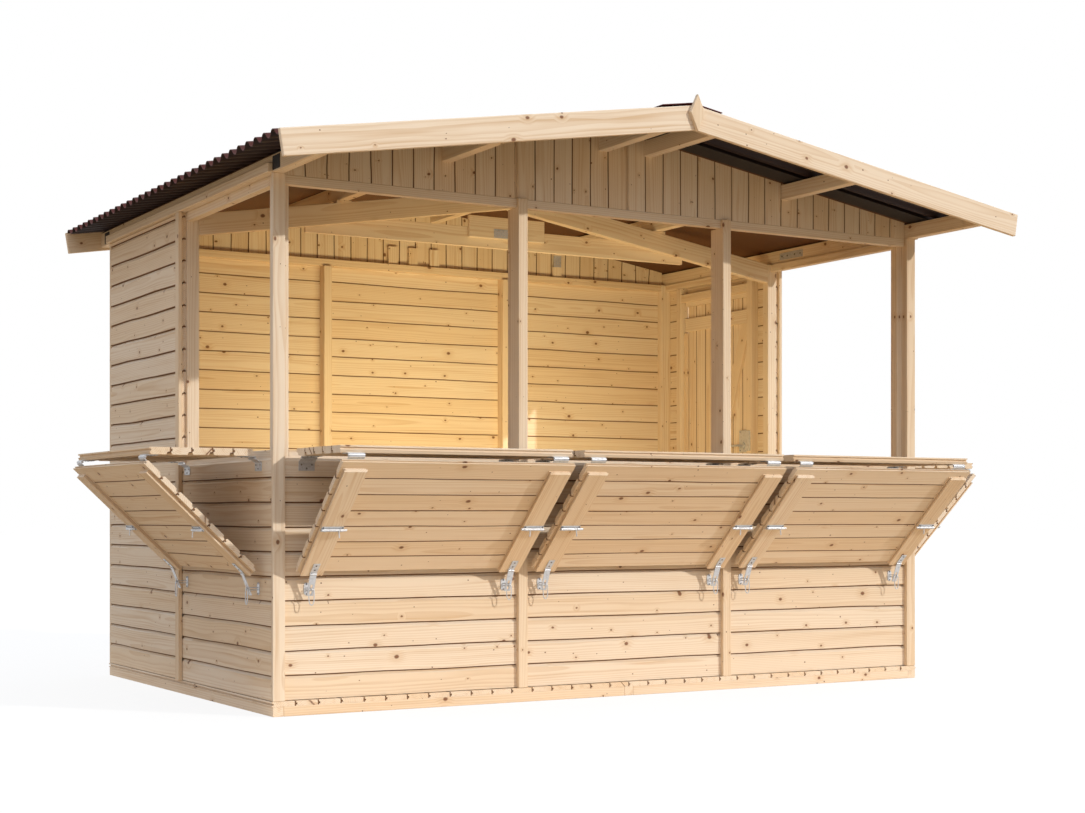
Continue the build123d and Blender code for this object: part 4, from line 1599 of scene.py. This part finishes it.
class STALL_OT_stage(bpy.types.Operator):
    """Set the pale floor, the soft light and the camera"""

    bl_idname = "stall.stage"
    bl_label = "Set Stage"

    camera_place, camera_turn, camera_shift = (-4.2518, -7.5251, 0.78475), -30.55, 0.0999
    key_place, key_aim = Vector((0, 0, 6)), Vector((-0.8, 1.0, -0.6))
    key_colour = (1.0, 0.965, 0.91)
    inside_place, inside_aim = Vector((-0.1, -0.7, 0.95)), Vector((0.15, 1, 0.14))
    inside_size, inside_colour = (1.8, 0.4), (1.0, 0.81, 0.41)
    sky, low_sky, high_sky = (0.80, 0.87, 1, 1), 0.47, 1.55
    floor_seen, floor_glow = (0.86, 0.85, 0.83, 1), 0.82
    floor_bounce, card_bounce = (0.47, 0.33, 0.185, 1), (0.95, 0.76, 0.53, 1)

    def execute(self, context):
        stage = context.scene.stall_stage
        scene = context.scene
        scene.view_settings.view_transform = "Standard"
        self.floor()
        self.world(stage.fill_strength)
        key = bpy.data.lights.new("key_light", "SUN")
        key.energy = stage.key_strength
        key.angle = math.radians(0.9)
        key.color = self.key_colour
        self.lamp("key_light", key, self.key_place, self.key_aim)
        inside = bpy.data.lights.new("inside_light", "AREA")
        inside.energy = stage.inside_power
        inside.shape = "RECTANGLE"
        inside.size, inside.size_y = self.inside_size
        inside.spread = math.radians(140)
        inside.color = self.inside_colour
        self.lamp("inside_light", inside, self.inside_place, self.inside_aim)
        lens = bpy.data.cameras.new("camera")
        lens.lens, lens.sensor_width = stage.focal_length, 36
        lens.shift_y = self.camera_shift
        lens.clip_end = 200
        camera = bpy.data.objects.new("camera", lens)
        camera.location = self.camera_place
        camera.rotation_euler = (math.radians(90), 0, math.radians(self.camera_turn))
        scene.collection.objects.link(camera)
        scene.camera = camera
        return {"FINISHED"}

    def lamp(self, name, light, place, aim):
        """Put up a lamp that isn't seen itself."""
        lamp = bpy.data.objects.new(name, light)
        lamp.location = place
        lamp.rotation_euler = aim.to_track_quat("-Z", "Y").to_euler()
        lamp.visible_camera = False
        bpy.context.scene.collection.objects.link(lamp)

    def looked_at(self, graph):
        """Whether a ray looks at the backdrop: straight, in a reflection or through glass."""
        path = graph.node("ShaderNodeLightPath")
        return path["Is Camera Ray"].most(path["Is Glossy Ray"].most(path["Is Transmission Ray"]))

    def floor(self):
        """A wide pale floor that keeps a faint shadow and throws light under the counters."""
        half = 60
        mesh = bpy.data.meshes.new("stage_floor")
        corners = [(-half, -half, 0), (half, -half, 0), (half, half, 0), (-half, half, 0)]
        mesh.from_pydata(corners, [], [(0, 1, 2, 3)])
        graph = new_finish("pale_floor")
        seen = self.looked_at(graph)
        spot = graph.apart(graph.node("ShaderNodeTexCoord")["Object"])
        card = graph.ease(spot["Y"], -2.1, -1.9) * graph.ease(abs(spot["X"]), 2.0, 1.8)
        bounce = graph.blend(card, self.floor_bounce, self.card_bounce)
        colour = graph.blend(seen, bounce, self.floor_seen)
        matt = graph.node("ShaderNodeBsdfDiffuse", {}, {"Color": colour})
        white = graph.node("ShaderNodeEmission", {}, {"Color": (1, 1, 1, 1), "Strength": 1.05})
        shader = graph.node(
            "ShaderNodeMixShader", {}, {0: seen * self.floor_glow, 1: matt, 2: white}
        )
        graph.node("ShaderNodeOutputMaterial", {}, {"Surface": shader})
        mesh.materials.append(bpy.data.materials["pale_floor"])
        floor = bpy.data.objects.new("stage_floor", mesh)
        bpy.context.scene.collection.objects.link(floor)

    def world(self, strength):
        """Soft light, stronger from above, with a white backdrop to look at."""
        world = bpy.data.worlds.new("even_light")
        bpy.context.scene.world = world
        world.use_nodes = True
        graph = Graph(world.node_tree)
        seen = self.looked_at(graph)
        ray = graph.apart(graph.node("ShaderNodeTexCoord")["Generated"])
        low, high = (
            graph.node("ShaderNodeBackground", {}, {"Color": self.sky, "Strength": level})
            for level in (strength * self.low_sky, strength * self.high_sky)
        )
        even = graph.node("ShaderNodeMixShader", {}, {0: ray["Z"].most(0), 1: low, 2: high})
        white = graph.node(
            "ShaderNodeBackground", {}, {"Color": (1, 1, 1, 1), "Strength": 1.0}
        )
        shader = graph.node("ShaderNodeMixShader", {}, {0: seen, 1: even, 2: white})
        graph.node("ShaderNodeOutputWorld", {}, {"Surface": shader})


OPERATORS = (
    STALL_OT_finishes, STALL_OT_timbers, STALL_OT_wall_boards, STALL_OT_gable_boards,
    STALL_OT_floor_boards, STALL_OT_flap_boards, STALL_OT_door, STALL_OT_roof, STALL_OT_ironwork,
    STALL_OT_fixings, STALL_OT_stage,
)


class STALL_PT_builder(bpy.types.Panel):
    """Sidebar panel with the stall's sizes, colours and build steps"""

    bl_idname = "STALL_PT_builder"
    bl_label = "Market Stall"
    bl_space_type = "VIEW_3D"
    bl_region_type = "UI"
    bl_category = "Stall"

    def draw(self, context):
        scene = context.scene
        for group in (scene.stall_boards, scene.stall_colours, scene.stall_stage):
            box = self.layout.box()
            for name in group.__annotations__:
                box.prop(group, name)
        for operator in OPERATORS:
            self.layout.operator(operator.bl_idname)


CLASSES = (BoardSizes, StallColours, StageSettings) + OPERATORS + (STALL_PT_builder,)


def register():
    for item in CLASSES:
        bpy.utils.register_class(item)
    bpy.types.Scene.stall_boards = PointerProperty(type=BoardSizes)
    bpy.types.Scene.stall_colours = PointerProperty(type=StallColours)
    bpy.types.Scene.stall_stage = PointerProperty(type=StageSettings)


def unregister():
    del bpy.types.Scene.stall_stage
    del bpy.types.Scene.stall_colours
    del bpy.types.Scene.stall_boards
    for item in reversed(CLASSES):
        bpy.utils.unregister_class(item)


def main():
    register()
    for operator in OPERATORS:
        group, name = operator.bl_idname.split(".")
        getattr(getattr(bpy.ops, group), name)()


if __name__ == "__main__":
    main()
